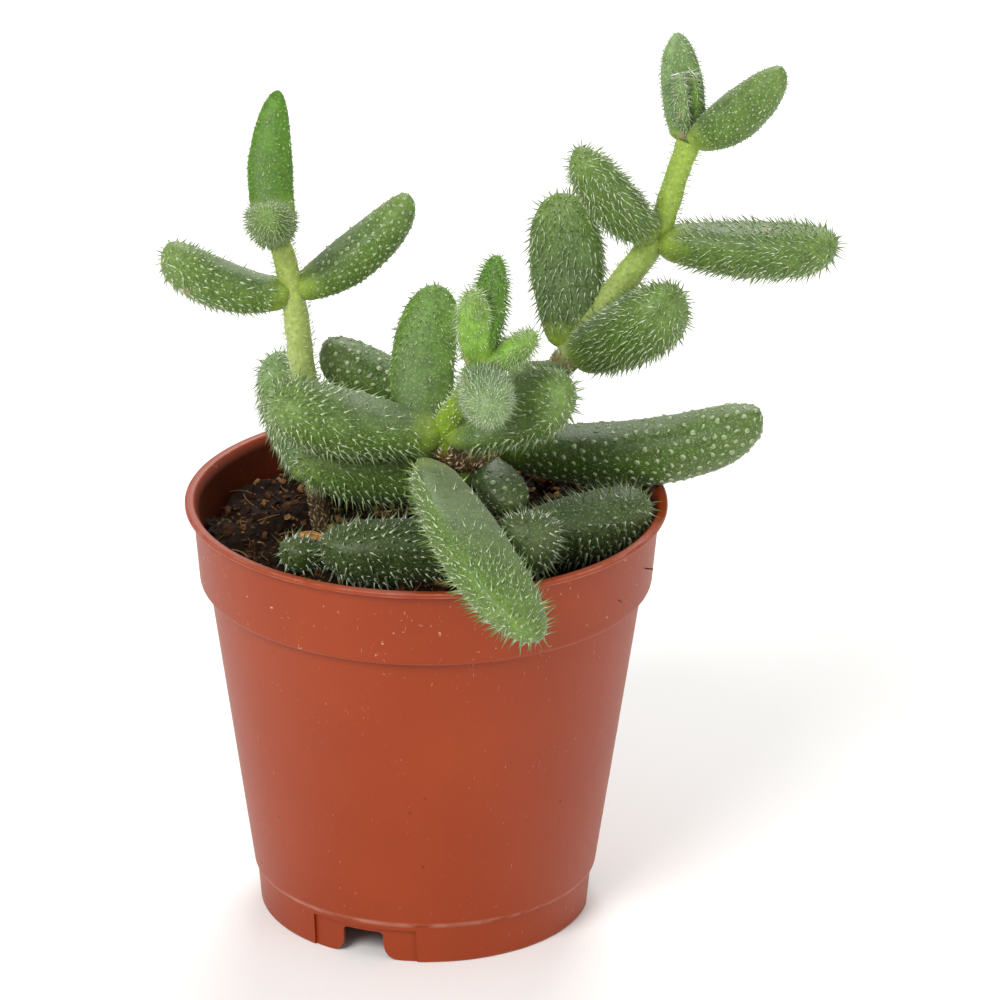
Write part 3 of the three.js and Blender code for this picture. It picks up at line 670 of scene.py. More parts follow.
def leaf_section(tree, given, along, full, cosine, sine):
    """Half the width to each side, a thin flat face above and a round back below, then twisted."""
    half_width = add(tree, MATH, [given["Width"], 0.5], operation="MULTIPLY")
    widened = add(tree, MATH, [half_width, cosine], operation="MULTIPLY")
    across = add(tree, MATH, [widened, full], operation="MULTIPLY")
    upper, lower = (add(tree, MATH, [sine, 0.0], operation=part) for part in ("MAXIMUM", "MINIMUM"))
    squareness = add(tree, MAP_RANGE, [along, 0.5, 0.9, FACE_SQUARENESS, 1])
    flattened = add(tree, MATH, [upper, squareness], operation="POWER")
    above = add(tree, MATH, [flattened, FACE_SHARE], operation="MULTIPLY")
    thick_share = add(tree, MATH, [lower, 1 - FACE_SHARE, above], operation="MULTIPLY_ADD")
    deep = add(tree, MATH, [thick_share, given["Depth"]], operation="MULTIPLY")
    thick = add(tree, MATH, [deep, full], operation="MULTIPLY")
    section = add(tree, COMBINE, {"Y": across, "Z": thick})
    return add(tree, ROTATE, {"Vector": section, "Angle": given["Twist"]}, rotation_type="X_AXIS")


print("the flat face takes", FACE_SHARE, "of the depth")

# %% Leaf arc
COSINE_AND_SINE = ("COSINE", "SINE")


def leaf_arc(tree, given, along, section):
    """Lays the sections on an arc and turns them with it: the place of each point, and its way."""
    half_bend = add(tree, MATH, [given["Bend"], 0.5], operation="MULTIPLY")
    bend_so_far = add(tree, MATH, [given["Bend"], along], operation="MULTIPLY")
    turn = add(tree, MATH, [bend_so_far, half_bend], operation="SUBTRACT")
    half_cosine, half_sine = (add(tree, MATH, [half_bend], operation=part) for part in COSINE_AND_SINE)
    turn_cosine, turn_sine = (add(tree, MATH, [turn], operation=part) for part in COSINE_AND_SINE)
    chord = add(tree, MATH, [half_sine, 2.0], operation="MULTIPLY")
    radius = add(tree, MATH, [given["Length"], chord], operation="DIVIDE")
    ahead_share = add(tree, MATH, [turn_sine, half_sine], operation="ADD")
    ahead = add(tree, MATH, [ahead_share, radius], operation="MULTIPLY")
    sag_share = add(tree, MATH, [half_cosine, turn_cosine], operation="SUBTRACT")
    sag = add(tree, MATH, [sag_share, radius], operation="MULTIPLY")
    direction = given["Bend Direction"]
    to_face, to_side = (add(tree, MATH, [direction], operation=part) for part in COSINE_AND_SINE)
    off_face = add(tree, MATH, [to_face, -1.0], operation="MULTIPLY")
    off_side = add(tree, MATH, [to_side, -1.0], operation="MULTIPLY")
    hinge = add(tree, COMBINE, {"Y": off_face, "Z": off_side})
    inward = add(tree, COMBINE, {"Y": off_side, "Z": to_face})
    sunk = add(tree, VECTOR_MATH, [inward, sag], operation="SCALE")
    middle = add(tree, VECTOR_MATH, [add(tree, COMBINE, {"X": ahead}), sunk], operation="ADD")
    turned, way = (
        add(tree, ROTATE, {"Vector": vector, "Axis": hinge, "Angle": turn}, rotation_type="AXIS_ANGLE")
        for vector in (section, (1.0, 0.0, 0.0))
    )
    return add(tree, VECTOR_MATH, [middle, turned], operation="ADD"), way


print("leaf arc ready")

# %% Leaf shape tree
LEAF_RINGS = 40
LEAF_SIDES = 28
DENT_SIZE = 5
DENT_DEPTH = 0.5


def leaf_shape_tree():
    """A smooth leaf along +X from the origin, with its flat face to +Z."""
    tree, given, result = new_tree("leaf_shape", {**LEAF_SIZES, "Seed": 1.0})
    grid = add(tree, "GeometryNodeMeshGrid", [1.0, 1.0, LEAF_RINGS, LEAF_SIDES + 1])
    corner = add(tree, "ShaderNodeSeparateXYZ", [add(tree, "GeometryNodeInputPosition")])
    angle = add(tree, MATH, [corner.outputs["Y"], 2 * math.pi, math.pi], operation="MULTIPLY_ADD")
    cosine, sine = (add(tree, MATH, [angle], operation=part) for part in COSINE_AND_SINE)

    # Rings crowd towards both ends, where the outline turns fastest.
    step = add(tree, MATH, [corner.outputs["X"], 0.5], operation="ADD")
    swing = add(tree, MATH, [step, math.pi], operation="MULTIPLY")
    swung = add(tree, MATH, [swing], operation="COSINE")
    along = add(tree, MATH, [swung, -0.5, 0.5], operation="MULTIPLY_ADD")

    full = leaf_fullness(tree, given, along)
    section = leaf_section(tree, given, along, full, cosine, sine)
    spot, way = leaf_arc(tree, given, along, section)

    # What the bristles and the material read: the way to the tip, and how flat the skin is here.
    near_face = add(tree, MAP_RANGE, [sine, 0.1, 0.55])
    not_tip = add(tree, MAP_RANGE, [along, 0.5, 0.82, 1, 0])
    flat = add(tree, MATH, [near_face, not_tip], operation="MULTIPLY")
    marks = (("along", along, "FLOAT"), ("flat", flat, "FLOAT"), ("way", way, "FLOAT_VECTOR"))
    named = grid
    for label, value, kind in marks:
        named = add(tree, STORE, {"Geometry": named, "Name": label, "Value": value}, data_type=kind)
    moved = add(tree, "GeometryNodeSetPosition", {"Geometry": named, "Position": spot})
    merged = add(tree, "GeometryNodeMergeByDistance", {"Geometry": moved, "Distance": 1e-6})

    # No two leaves are quite even: a slow noise dents and swells the skin.
    noise = add(tree, NOISE, {
        "W": given["Seed"], "Scale": 1 / (DENT_SIZE * MM), "Detail": 2,
    }, noise_dimensions="4D")
    feed(tree, result, [dented(tree, merged, noise, DENT_DEPTH * MM)])
    return tree


LEAF_SHAPE = leaf_shape_tree()
print("leaf shape tree has", len(LEAF_SHAPE.nodes), "nodes")

# %% [markdown]
# The bristles are what everybody remembers of this plant. Each one is a clear cone that stands on
# a small dome of skin and leans to the tip. They could be hair strands, but those would be lost
# in an exported model, so one bristle is modelled and then copied to points that are scattered
# evenly, never nearer to each other than the spacing. The same tree sets the domes, and makes
# soft down from thinner and shorter cones. The face that looks to the stem stays nearly bare.

# %% One bristle and one dome
BRISTLE_OUTLINE = [(0.0, 1.0), (0.25, 0.7), (0.5, 0.5), (0.75, 0.4), (1.0, 0.1)]
BRISTLE_ROOT = 0.12
BRISTLE_STAND = 0.1
BRISTLE_CURVE = 3.2
DOME_TOP = 0.45
DOME_ROOT = 0.2
DOME_MARK = 0.08


def bristle(tree, sides, segments):
    """One bristle of unit size: a curved cone on a broad foot, sunk a little into the skin."""
    curve = add(tree, "GeometryNodeCurveQuadraticBezier", {
        "Resolution": segments, "Start": (0, 0, -BRISTLE_ROOT), "Middle": (0, 0, BRISTLE_STAND),
        "End": (BRISTLE_CURVE, 0, 1),
    })
    factor = add(tree, "GeometryNodeSplineParameter")
    height = add(tree, MAP_RANGE, [factor, 0.2, 1])
    marked = add(tree, STORE, {"Geometry": curve, "Name": "bristle", "Value": height})
    taper = add(tree, "ShaderNodeFloatCurve", {"Value": factor})
    points = taper.mapping.curves[0].points
    while len(points) < len(BRISTLE_OUTLINE):
        points.new(0.5, 0.5)
    for point, (x, y) in zip(points, BRISTLE_OUTLINE):
        point.location = (x, y)
        point.handle_type = "VECTOR"
    taper.mapping.update()
    ring = add(tree, "GeometryNodeCurvePrimitiveCircle", {"Resolution": sides, "Radius": 1.0})
    return add(tree, "GeometryNodeCurveToMesh", {
        "Curve": marked, "Profile Curve": ring, "Scale": taper, "Fill Caps": True,
    })


def dome(tree, sides, segments):
    """One papilla of unit size: a low blunt dome, sunk a little into the skin."""
    body = add(tree, "GeometryNodeMeshCone", {
        "Vertices": sides, "Side Segments": segments, "Radius Top": DOME_TOP, "Radius Bottom": 1.0,
        "Depth": 1 + DOME_ROOT,
    })
    sunk = add(tree, "GeometryNodeTransform", {"Geometry": body, "Translation": (0, 0, -DOME_ROOT)})
    return add(tree, STORE, {"Geometry": sunk, "Name": "bristle", "Value": DOME_MARK})


print("bristle and dome ready")

# %% Points and turns
CROWDING = 4.0
STRAY = 0.36
STRAY_CURL = 3.0
TIP_POWER = 6.0
TIP_RISE = 0.8


def scattered_points(tree, given, along):
    """Evenly scattered points, fewer on the flat face and none at the base."""
    flat = add(tree, READ, {"Name": "flat"})
    bare = add(tree, MATH, [flat, given["Bare Face"]], operation="MULTIPLY")
    covered = add(tree, MATH, [1.0, bare], operation="SUBTRACT")
    past_base = add(tree, MATH, [along, given["Bare Base"]], operation="GREATER_THAN")
    share = add(tree, MATH, [covered, past_base], operation="MULTIPLY")
    squared = add(tree, MATH, [given["Spacing"], 2.0], operation="POWER")
    density = add(tree, MATH, [CROWDING, squared], operation="DIVIDE")
    return add(tree, SCATTER, {
        "Mesh": given["Geometry"], "Distance Min": given["Spacing"],
        "Density Max": density, "Density Factor": share, "Seed": given["Seed"],
    }, distribute_method="POISSON")


def bristle_turn(tree, given, along, outward):
    """Out of the skin and leaning to the tip, a little astray, and more upright near the tip."""
    way = add(tree, READ, {"Name": "way"}, data_type="FLOAT_VECTOR")
    near_tip = add(tree, MATH, [along, TIP_POWER], operation="POWER")
    lying = add(tree, MATH, [near_tip, -TIP_RISE, 1.0], operation="MULTIPLY_ADD")
    lean = add(tree, MATH, [given["Lean"], lying], operation="MULTIPLY")
    upright, leaning = (add(tree, MATH, [lean], operation=part) for part in COSINE_AND_SINE)
    out = add(tree, VECTOR_MATH, [outward, upright], operation="SCALE")
    forward = add(tree, VECTOR_MATH, [way, leaning], operation="SCALE")
    aim = add(tree, VECTOR_MATH, [out, forward], operation="ADD")
    stray = add(tree, RANDOM, {
        "Min": (-STRAY, -STRAY, -STRAY), "Max": (STRAY, STRAY, STRAY), "Seed": 7,
    }, data_type="FLOAT_VECTOR")
    strayed = add(tree, VECTOR_MATH, [aim, stray], operation="ADD")
    stood = add(tree, "FunctionNodeAlignRotationToVector", {"Vector": strayed}, axis="Z")
    side = add(tree, VECTOR_MATH, [stray, STRAY_CURL], operation="SCALE")
    curled = add(tree, VECTOR_MATH, [way, side], operation="ADD")
    return add(tree, "FunctionNodeAlignRotationToVector", {
        "Rotation": stood, "Vector": curled,
    }, axis="X", pivot_axis="Z")


print("coats crowd", CROWDING, "tries into each square of the spacing")

# %% Coat tree


def coat_tree(name, shape, sides, segments):
    """Copies of one bristle or dome on the skin that comes in, as instances."""
    tree, given, result = new_tree(name, {
        "Geometry": "geometry", "Spacing": 0.001, "Length": 0.001, "Width": 0.0002, "Lean": 0.5,
        "Bare Face": 0.9, "Bare Base": 0.15, "Seed": 1,
    })
    along = add(tree, READ, {"Name": "along"})
    scattered = scattered_points(tree, given, along)
    facing = bristle_turn(tree, given, along, scattered.outputs["Normal"])

    # No two are equally long or wide.
    long_share = add(tree, RANDOM, {"Min": 0.55, "Max": 1.15, "Seed": 3}, data_type="FLOAT")
    wide_share = add(tree, RANDOM, {"Min": 0.75, "Max": 1.15, "Seed": 5}, data_type="FLOAT")
    long = add(tree, MATH, [given["Length"], long_share], operation="MULTIPLY")
    wide = add(tree, MATH, [given["Width"], wide_share], operation="MULTIPLY")
    placed = add(tree, "GeometryNodeInstanceOnPoints", {
        "Points": scattered, "Instance": shape(tree, sides, segments), "Rotation": facing,
        "Scale": add(tree, COMBINE, [wide, wide, long]),
    })
    feed(tree, result, [placed])
    return tree


BRISTLE_COAT = coat_tree("bristle_coat", bristle, 3, 4)
DOWN_COAT = coat_tree("down_coat", bristle, 3, 2)
DOME_COAT = coat_tree("dome_coat", dome, 7, 1)
print("bristle coat tree has", len(BRISTLE_COAT.nodes), "nodes")

# %% [markdown]
# A leaf is its skin, its domes, its bristles and its down, joined in one mesh. The trees made so
# far go in as groups, so this one only says what a leaf is made of. Bristles and domes have the
# same seed, and where their spacings are equal too, each bristle stands on a dome.

# %% Whole leaf tree
COAT_SIZES = {
    "Bristle Spacing": 0.001, "Bristle Length": 0.001, "Bristle Width": 0.0002,
    "Bristle Lean": 0.5, "Bare Face": 0.9,
    "Dome Spacing": 0.001, "Dome Width": 0.0002, "Dome Length": 0.0001,
    "Down Spacing": 0.0005, "Down Length": 0.0003, "Down Width": 0.00004,
}
DOWN_BARE_FACE = 0.7
DOWN_BARE_BASE = 0.06
BRISTLE_BARE_BASE = 0.14


def pickle_leaf_tree():
    """Skin, domes, bristles and down in one plain geometry with one material."""
    tree, given, result = new_tree("pickle_leaf", {
        **LEAF_SIZES, **COAT_SIZES, "Seed": 1, "Material": "material",
    })
    skin = add(tree, GROUP, node_tree=LEAF_SHAPE)
    feed(tree, skin, {label: given[label] for label in (*LEAF_SIZES, "Seed")})
    growths = (
        # what grows, its tree, its lean, and how bare the flat face and the base are
        ("Dome", DOME_COAT, 0.0, given["Bare Face"], BRISTLE_BARE_BASE),
        ("Down", DOWN_COAT, given["Bristle Lean"], DOWN_BARE_FACE, DOWN_BARE_BASE),
        ("Bristle", BRISTLE_COAT, given["Bristle Lean"], given["Bare Face"], BRISTLE_BARE_BASE),
    )
    parts = []
    for growth, coat, lean, bare_face, bare_base in growths:
        grown = add(tree, GROUP, node_tree=coat)
        feed(tree, grown, {size: given[f"{growth} {size}"] for size in ("Spacing", "Length", "Width")})
        feed(tree, grown, {
            "Geometry": skin, "Lean": lean, "Bare Face": bare_face, "Bare Base": bare_base,
            "Seed": given["Seed"],
        })
        parts.append(grown)
    end_tree(tree, result, [*parts, skin], given["Material"])
    return tree


PICKLE_LEAF = pickle_leaf_tree()
print("whole leaf tree has", len(PICKLE_LEAF.nodes), "nodes")

# %% [markdown]
# Leaf skin is a thin waxy cuticle over watery cells, so light goes in, takes on green, and comes
# out again nearby. Its colour follows the leaf: yellow-green at the base where it is youngest,
# greyer on the flat face, and lighter at the tip. Every bristle fades from skin to clear white,
# which is why the leaf seems frosted. The same function makes every kind of leaf from its own
# set of colours.

# %% Leaf skin
LEAF_FINISHES = {
    # kind: base, back, flat face, tip, dome, hair
    "mature": ("#849c30", "#547026", "#546a38", "#6c863e", "#a6bc84", "#e6ebd8"),
    "lush": ("#8aa82a", "#567c22", "#526e2a", "#64823a", "#a8c080", "#e6ebd8"),
    "young": ("#88a83a", "#789e3a", "#729c30", "#809c4c", "#c0d0a0", "#fafaf4"),
    "grassy": ("#7ea01e", "#4c7814", "#487014", "#527c1c", "#92ae5c", "#dfe7cc"),
    "pale": ("#7d9636", "#6c8848", "#62804a", "#86a06a", "#c2d2ac", "#fafaf4"),
    # dark: a darker copy of the skin, painted shade for leaves in the shadow of others
    "dark": ("#5e7a26", "#46601e", "#485e2c", "#566c30", "#a8ba88", "#e6ebd8"),
    # dusky: a darker copy of the skin, painted shade for leaves low under the canopy
    "dusky": ("#4c5e28", "#3c4e20", "#40522a", "#4c5e2e", "#8c9c70", "#eceee0"),
}
HAIR_MARK = 0.14


def leaf_skin(kind):
    """Waxy, translucent leaf skin whose colours follow the leaf, with hairs that fade to white."""
    base, back, face, tip, dome, hair = (colour(code) for code in LEAF_FINISHES[kind])
    made, tree, shader, spot = new_material(f"{kind}_leaf_skin", {
        "IOR": 1.42, "Subsurface Radius": (0.6, 1.0, 0.3), "Subsurface Scale": 0.7 * MM,
        "Sheen Weight": 0.25, "Sheen Roughness": 0.4, "Sheen Tint": colour("#dfe8cf"),
    })
    along, flat, bristle = (
        add(tree, "ShaderNodeAttribute", attribute_name=label).outputs["Fac"]
        for label in ("along", "flat", "bristle")
    )

    # Base to tip.
    to_base = add(tree, MAP_RANGE, [along, 0.02, 0.26, 1, 0], interpolation_type="SMOOTHSTEP")
    to_tip = add(tree, MAP_RANGE, [along, 0.72, 1, 0, 0.7], interpolation_type="SMOOTHSTEP")
    skin = add(tree, MIX, [flat, back, face], data_type="RGBA")
    for share, tint in ((to_base, base), (to_tip, tip)):
        skin = add(tree, MIX, [share, skin, tint], data_type="RGBA")

    # Mottling: slow patches of lighter and darker green, and fine cells like frosted sugar.
    patches = add(tree, NOISE, {"Vector": spot, "Scale": 1 / (1.6 * MM), "Detail": 5, "Roughness": 0.65})
    shade = add(tree, MAP_RANGE, [patches, 0.32, 0.68, 0.7, 1.28])
    skin = add(tree, VECTOR_MATH, [skin, shade], operation="SCALE")
    cells = add(tree, CELLS, {"Vector": spot, "Scale": 1 / (0.34 * MM)})
    grain = add(tree, MAP_RANGE, [cells, 0.12, 0.48, 0.32, 0])

    # Scars: small dry spots of cork, about a centimetre apart.
    hurts = add(tree, CELLS, {"Vector": spot, "Scale": 1 / (9 * MM)})
    ragged = add(tree, MATH, [patches, 0.05, hurts], operation="MULTIPLY_ADD")
    scar = add(tree, MAP_RANGE, [ragged, 0.08, 0.1, 0.85, 0])

    # Up each bristle: a pale dome, then clear white.
    to_dome = add(tree, MAP_RANGE, [bristle, 0.01, DOME_MARK])
    to_hair = add(tree, MAP_RANGE, [bristle, DOME_MARK, HAIR_MARK])
    for share, tint in ((grain, dome), (scar, colour("#9a8c66")), (to_dome, dome), (to_hair, hair)):
        skin = add(tree, MIX, [share, skin, tint], data_type="RGBA")

    # Hairs let no light in and have no bumps.
    clear = add(tree, MAP_RANGE, [to_hair, 0, 1, 0.08, 0])
    rough = add(tree, MAP_RANGE, [patches, 0, 1, 0.42, 0.62])
    pebbles = add(tree, MATH, [cells, -1.0], operation="MULTIPLY")
    smoothed = add(tree, MAP_RANGE, [to_hair, 0, 1, 0.4, 0])
    bump = add(tree, "ShaderNodeBump", {"Height": pebbles, "Strength": smoothed, "Distance": 0.1 * MM})
    feed(tree, shader, {"Base Color": skin, "Subsurface Weight": clear, "Roughness": rough, "Normal": bump})
    return made


SKINS = {kind: leaf_skin(kind) for kind in LEAF_FINISHES}
print("leaf skins:", ", ".join(SKINS))

# %% [markdown]
# The stems carry the leaves in pairs, each pair a quarter turn from the one below. This table
# gives the places that each stem runs through, in millimetres from the pot's axis, with its
# radius there. Numbers are shorter than drawn curves, and the leaves can take their seats from
# them.

# %% Stem routes
SHOOTS = {
    "left": [
        (-11.5, 5.3, 37, 1.1), (-11.9, 5.1, 45, 1.35), (-12.4, 4.9, 49.5, 1.45),
        (-13.8, 4.4, 61, 1.45), (-15.3, 4, 73.3, 1.4), (-17.1, 3.6, 81.2, 1.0),
    ],
    "centre": [
        (11.2, 7.2, 37, 1.3), (10, 5.6, 44.3, 1.6), (8.2, 3.4, 49.8, 1.65), (6.2, 1.2, 53.6, 1.7),
        (2.6, -2.9, 56.3, 1.7), (2.2, -4.2, 59.8, 1.7), (4, -8.5, 65.3, 1.2), (5.6, -14.4, 71.2, 1.1),
    ],
    "right": [
        (8.4, 9.2, 37, 1.3), (8, 8.8, 45, 1.5), (7.4, 8, 53.9, 1.5), (11, 8.5, 58.2, 1.4),
        (14.8, 9, 61.8, 1.35), (16.7, 9.3, 64, 1.6), (21.5, 9.7, 71, 1.6), (25.9, 10, 77.6, 1.5),
        (27.9, 10.6, 83.5, 1.3), (29.6, 11, 88.9, 1.4),
    ],
    "low": [(6.8, -3, 37, 1.2), (7.3, -5.6, 44, 1.4), (8.6, -9, 48, 1.5)],
    "back": [(0.6, 13.4, 37, 1.2), (0, 14, 44.5, 1.4), (-0.6, 14.6, 49.2, 1.4)],
}
print(len(SHOOTS), "stems")

# %% [markdown]
# A stem follows a path, so its tree turns the route into a smooth curve and sweeps a circle along
# it, wider or narrower as the route says. The same coat of bristles then grows on it, shorter
# than on the leaves. Young stems wear soft hairs, and where a stem is old the same tree sets
# coarse grains of cork close together instead.

# %% Stem tree
STEM_SIDES = 24
CORK_EDGE = 0.02


def hairy_stem_tree():
    """A tube along the curve that comes in, with its radius, short hairs and grains of cork."""
    tree, given, result = new_tree("hairy_stem", {
        "Geometry": "geometry", "Hair Spacing": 0.0007, "Hair Length": 0.0006, "Hair Width": 0.00008,
        "Cork Share": 0.5, "Grain Spacing": 0.0004, "Grain Size": 0.00035,
        "Seed": 1, "Material": "material",
    })
    smooth = add(tree, "GeometryNodeCurveSplineType", {
        "Curve": given["Geometry"],
    }, spline_type="CATMULL_ROM")
    fine = add(tree, "GeometryNodeResampleCurve", {"Curve": smooth, "Length": 0.5 * MM}, mode="LENGTH")
    factor = add(tree, "GeometryNodeSplineParameter")
    past_cork = add(tree, MATH, [factor, given["Cork Share"]], operation="SUBTRACT")
    cork = add(tree, MAP_RANGE, [past_cork, -CORK_EDGE, CORK_EDGE, 1, 0])
    green = add(tree, MATH, [1.0, cork], operation="SUBTRACT")
    marks = (
        ("way", add(tree, "GeometryNodeInputTangent"), "FLOAT_VECTOR"), ("along", factor, "FLOAT"),
        ("cork", cork, "FLOAT"), ("green", green, "FLOAT"),
    )
    named = fine
    for label, value, kind in marks:
        named = add(tree, STORE, {"Geometry": named, "Name": label, "Value": value}, data_type=kind)
    ring = add(tree, "GeometryNodeCurvePrimitiveCircle", {"Resolution": STEM_SIDES, "Radius": 1.0})
    tube = add(tree, "GeometryNodeCurveToMesh", {
        "Curve": named, "Profile Curve": ring, "Scale": add(tree, "GeometryNodeInputRadius"),
        "Fill Caps": True,
    })
    noise = add(tree, NOISE, {"Scale": 1 / (1.6 * MM), "Detail": 3})
    uneven = dented(tree, tube, noise, 0.5 * MM)

    # Hairs stay off the cork, and grains off the green.
    growths = (
        (DOWN_COAT, "cork", "Hair Spacing", "Hair Length", "Hair Width"),
        (BRISTLE_COAT, "green", "Grain Spacing", "Grain Size", "Grain Size"),
    )
    parts = []
    for coat, bare, spacing, length, width in growths:
        keep_off = add(tree, READ, {"Name": bare})
        marked = add(tree, STORE, {"Geometry": uneven, "Name": "flat", "Value": keep_off})
        parts.append(add(tree, GROUP, {
            "Geometry": marked, "Spacing": given[spacing], "Length": given[length],
            "Width": given[width], "Lean": 0.3, "Bare Face": 1.0, "Bare Base": 0.0,
            "Seed": given["Seed"],
        }, node_tree=coat))
    end_tree(tree, result, [*parts, uneven], given["Material"])
    return tree


HAIRY_STEM = hairy_stem_tree()
print("stem tree has", len(HAIRY_STEM.nodes), "nodes")

# %% [markdown]
# Young stems are watery and yellow-green. Older ones are corky: brown and beige grains stand
# close together over a little green. One function makes both, because the tree has stored where
# the cork ends, and a mix by that attribute changes bark into green skin there.

# %% Stem skin
STEM_FINISHES = {
    # kind: foot, middle, top, hair, grain
    "fresh": ("#4a3a22", "#b8c486", "#a6b85c", "#e8ecd8", "#9a8460"),
    "right": ("#6b5636", "#b2b880", "#98b248", "#e8ecd8", "#c8b48c"),
    "centre": ("#684a2c", "#93b02e", "#86a634", "#f2f5ea", "#dcc9a2"),
    "corky": ("#5e482c", "#6c5a40", "#78683e", "#e6dcc6", "#c0aa80"),
}


def stem_skin(kind):
    """Fleshy stem skin from foot to top, with corky grains where it is old."""
    foot, middle, top, hair, grain = STEM_FINISHES[kind]
    made, tree, shader, spot = new_material(f"{kind}_stem_skin", {
        "IOR": 1.42, "Subsurface Weight": 0.2, "Subsurface Radius": (0.7, 1.0, 0.3),
        "Subsurface Scale": 0.8 * MM,
    })
    along, bristle, cork = (
        add(tree, "ShaderNodeAttribute", attribute_name=label).outputs["Fac"]
        for label in ("along", "bristle", "cork")
    )
    height = add(tree, "ShaderNodeValToRGB", [along])
    ramp(height, [(0.3, middle), (0.85, top)])
    barked = add(tree, MIX, [cork, height, colour(foot)], data_type="RGBA")
    grains = add(tree, CELLS, {"Vector": spot, "Scale": 1 / (0.55 * MM)})
    dark = add(tree, MAP_RANGE, [grains, 0.2, 0.6, 1.1, 0.88])
    grained = add(tree, VECTOR_MATH, [barked, dark], operation="SCALE")
    to_hair = add(tree, MAP_RANGE, [bristle, 0.05, 0.4])
    ends = add(tree, MIX, [cork, colour(hair), colour(grain)], data_type="RGBA")
    haired = add(tree, MIX, [to_hair, grained, ends], data_type="RGBA")
    rough = add(tree, MAP_RANGE, [grains, 0, 1, 0.45, 0.65])
    bump = add(tree, "ShaderNodeBump", {"Height": dark, "Strength": 0.4, "Distance": 0.12 * MM})
    feed(tree, shader, {"Base Color": haired, "Roughness": rough, "Normal": bump})
    return made


print(len(STEM_FINISHES), "stem finishes")

# %% Grow the stems
STEM_LOOKS = {
    # shoot: skin, hair spacing, hair length, hair width in millimetres, share of its length with cork
    "left": ("fresh", 0.6, 0.7, 0.045, 0.27),
    "centre": ("centre", 0.6, 0.5, 0.06, 0.6),
    "right": ("right", 0.6, 0.7, 0.045, 0.5),
    "low": ("corky", 0.5, 0.4, 0.06, 1.1),
    "back": ("corky", 0.5, 0.4, 0.06, 1.1),
}
GRAIN_SPACING = 0.42
GRAIN_SIZE = 0.27
FIRST_STEM_SEED = 40


def kept(name, mesh, node):
    """Puts a finished mesh in the scene, in place of its solid, which it hides."""
    made = bpy.data.objects.new(name, mesh)
    bpy.context.scene.collection.objects.link(made)
    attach(made, "root")
    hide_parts(node)


def route_object(name, route):
    """A curve object through the places of a route, with the radius at each."""
    curve = bpy.data.curves.new(name, "CURVE")
    curve.dimensions = "3D"
    spline = curve.splines.new("POLY")
    spline.points.add(len(route) - 1)
    for point, (x, y, z, radius) in zip(spline.points, route):
        point.co = (*place(x, y, z), 1)
        point.radius = radius * MM
    made = bpy.data.objects.new(name, curve)
    bpy.context.scene.collection.objects.link(made)
    return made


for order, (shoot, route) in enumerate(SHOOTS.items()):
    skin, spacing, length, width, cork = STEM_LOOKS[shoot]
    host = route_object(shoot, route)
    mesh = grow(host, HAIRY_STEM, {
        "Hair Spacing": spacing * MM, "Hair Length": length * MM, "Hair Width": width * MM,
        "Cork Share": cork, "Grain Spacing": GRAIN_SPACING * MM, "Grain Size": GRAIN_SIZE * MM,
        "Seed": FIRST_STEM_SEED + order, "Material": stem_skin(skin),
    })
    bpy.data.objects.remove(host)
    kept(f"{shoot}_stem_hairy", mesh, f"{shoot}_stem")
    print(shoot, "stem", len(mesh.polygons), "faces")

# %% [markdown]
# The leaves themselves are a table, one line for each, as a gardener would describe them: where
# the leaf sits, the way it points, its length, width and depth in millimetres, how it bends and
# twists, and the coat it wears. A coat says how far apart, long and wide its bristles, domes
# and down are. A spacing of 50 mm is wider than any leaf, so nothing of that kind grows.

# %% Leaf table
NONE = 50
COATS = {
    # coat: bristle spacing, length, width, lean in degrees, bare face; dome spacing, width, height;
    # down spacing, length, width
    "bristly": (0.73, 2.1, 0.13, 34, 0.95, 0.73, 0.2, 0.14, 0.6, 0.35, 0.06),
    "fringed": (0.6, 1.1, 0.1, 42, 0.94, NONE, 0.1, 0.1, 0.55, 0.25, 0.05),
    "spiny": (0.82, 2.1, 0.15, 22, 0.5, 0.82, 0.2, 0.14, 0.65, 0.4, 0.065),
    "furry": (0.56, 1.8, 0.105, 48, 0.15, NONE, 0.1, 0.1, 0.6, 0.4, 0.06),
    "bearded": (0.72, 1.2, 0.11, 46, 0.85, 0.72, 0.2, 0.12, 0.6, 0.3, 0.06),
    "studded": (0.8, 0.45, 0.09, 26, 0.6, 0.8, 0.25, 0.18, 0.6, 0.25, 0.06),
    "beaded": (0.6, 0.5, 0.07, 36, 0.5, 0.6, 0.13, 0.12, 0.7, 0.25, 0.05),
    "warty": (1.05, 0.28, 0.1, 16, 0.4, 1.05, 0.36, 0.2, 0.75, 0.2, 0.06),
    "velvet": (0.42, 0.8, 0.065, 34, 0.2, NONE, 0.1, 0.1, 0.4, 0.4, 0.05),
    "woolly": (0.34, 1.4, 0.08, 26, 0.2, NONE, 0.1, 0.1, 0.4, 0.8, 0.055),
    "downy": (0.32, 1.6, 0.075, 30, 0.9, NONE, 0.1, 0.1, 0.42, 0.8, 0.055),
    "none": (NONE, 0.1, 0.01, 30, 0.9, NONE, 0.1, 0.1, NONE, 0.1, 0.01),
}
SHAPES = {
    # shape: width at the waist as a share of the full width, where the leaf is widest
    "gherkin": (0.58, 0.6),
    "club": (0.44, 0.66),
    "spindle": (0.44, 0.45),
    "horn": (0.9, 0.4),
    "paddle": (0.8, 0.5),
}
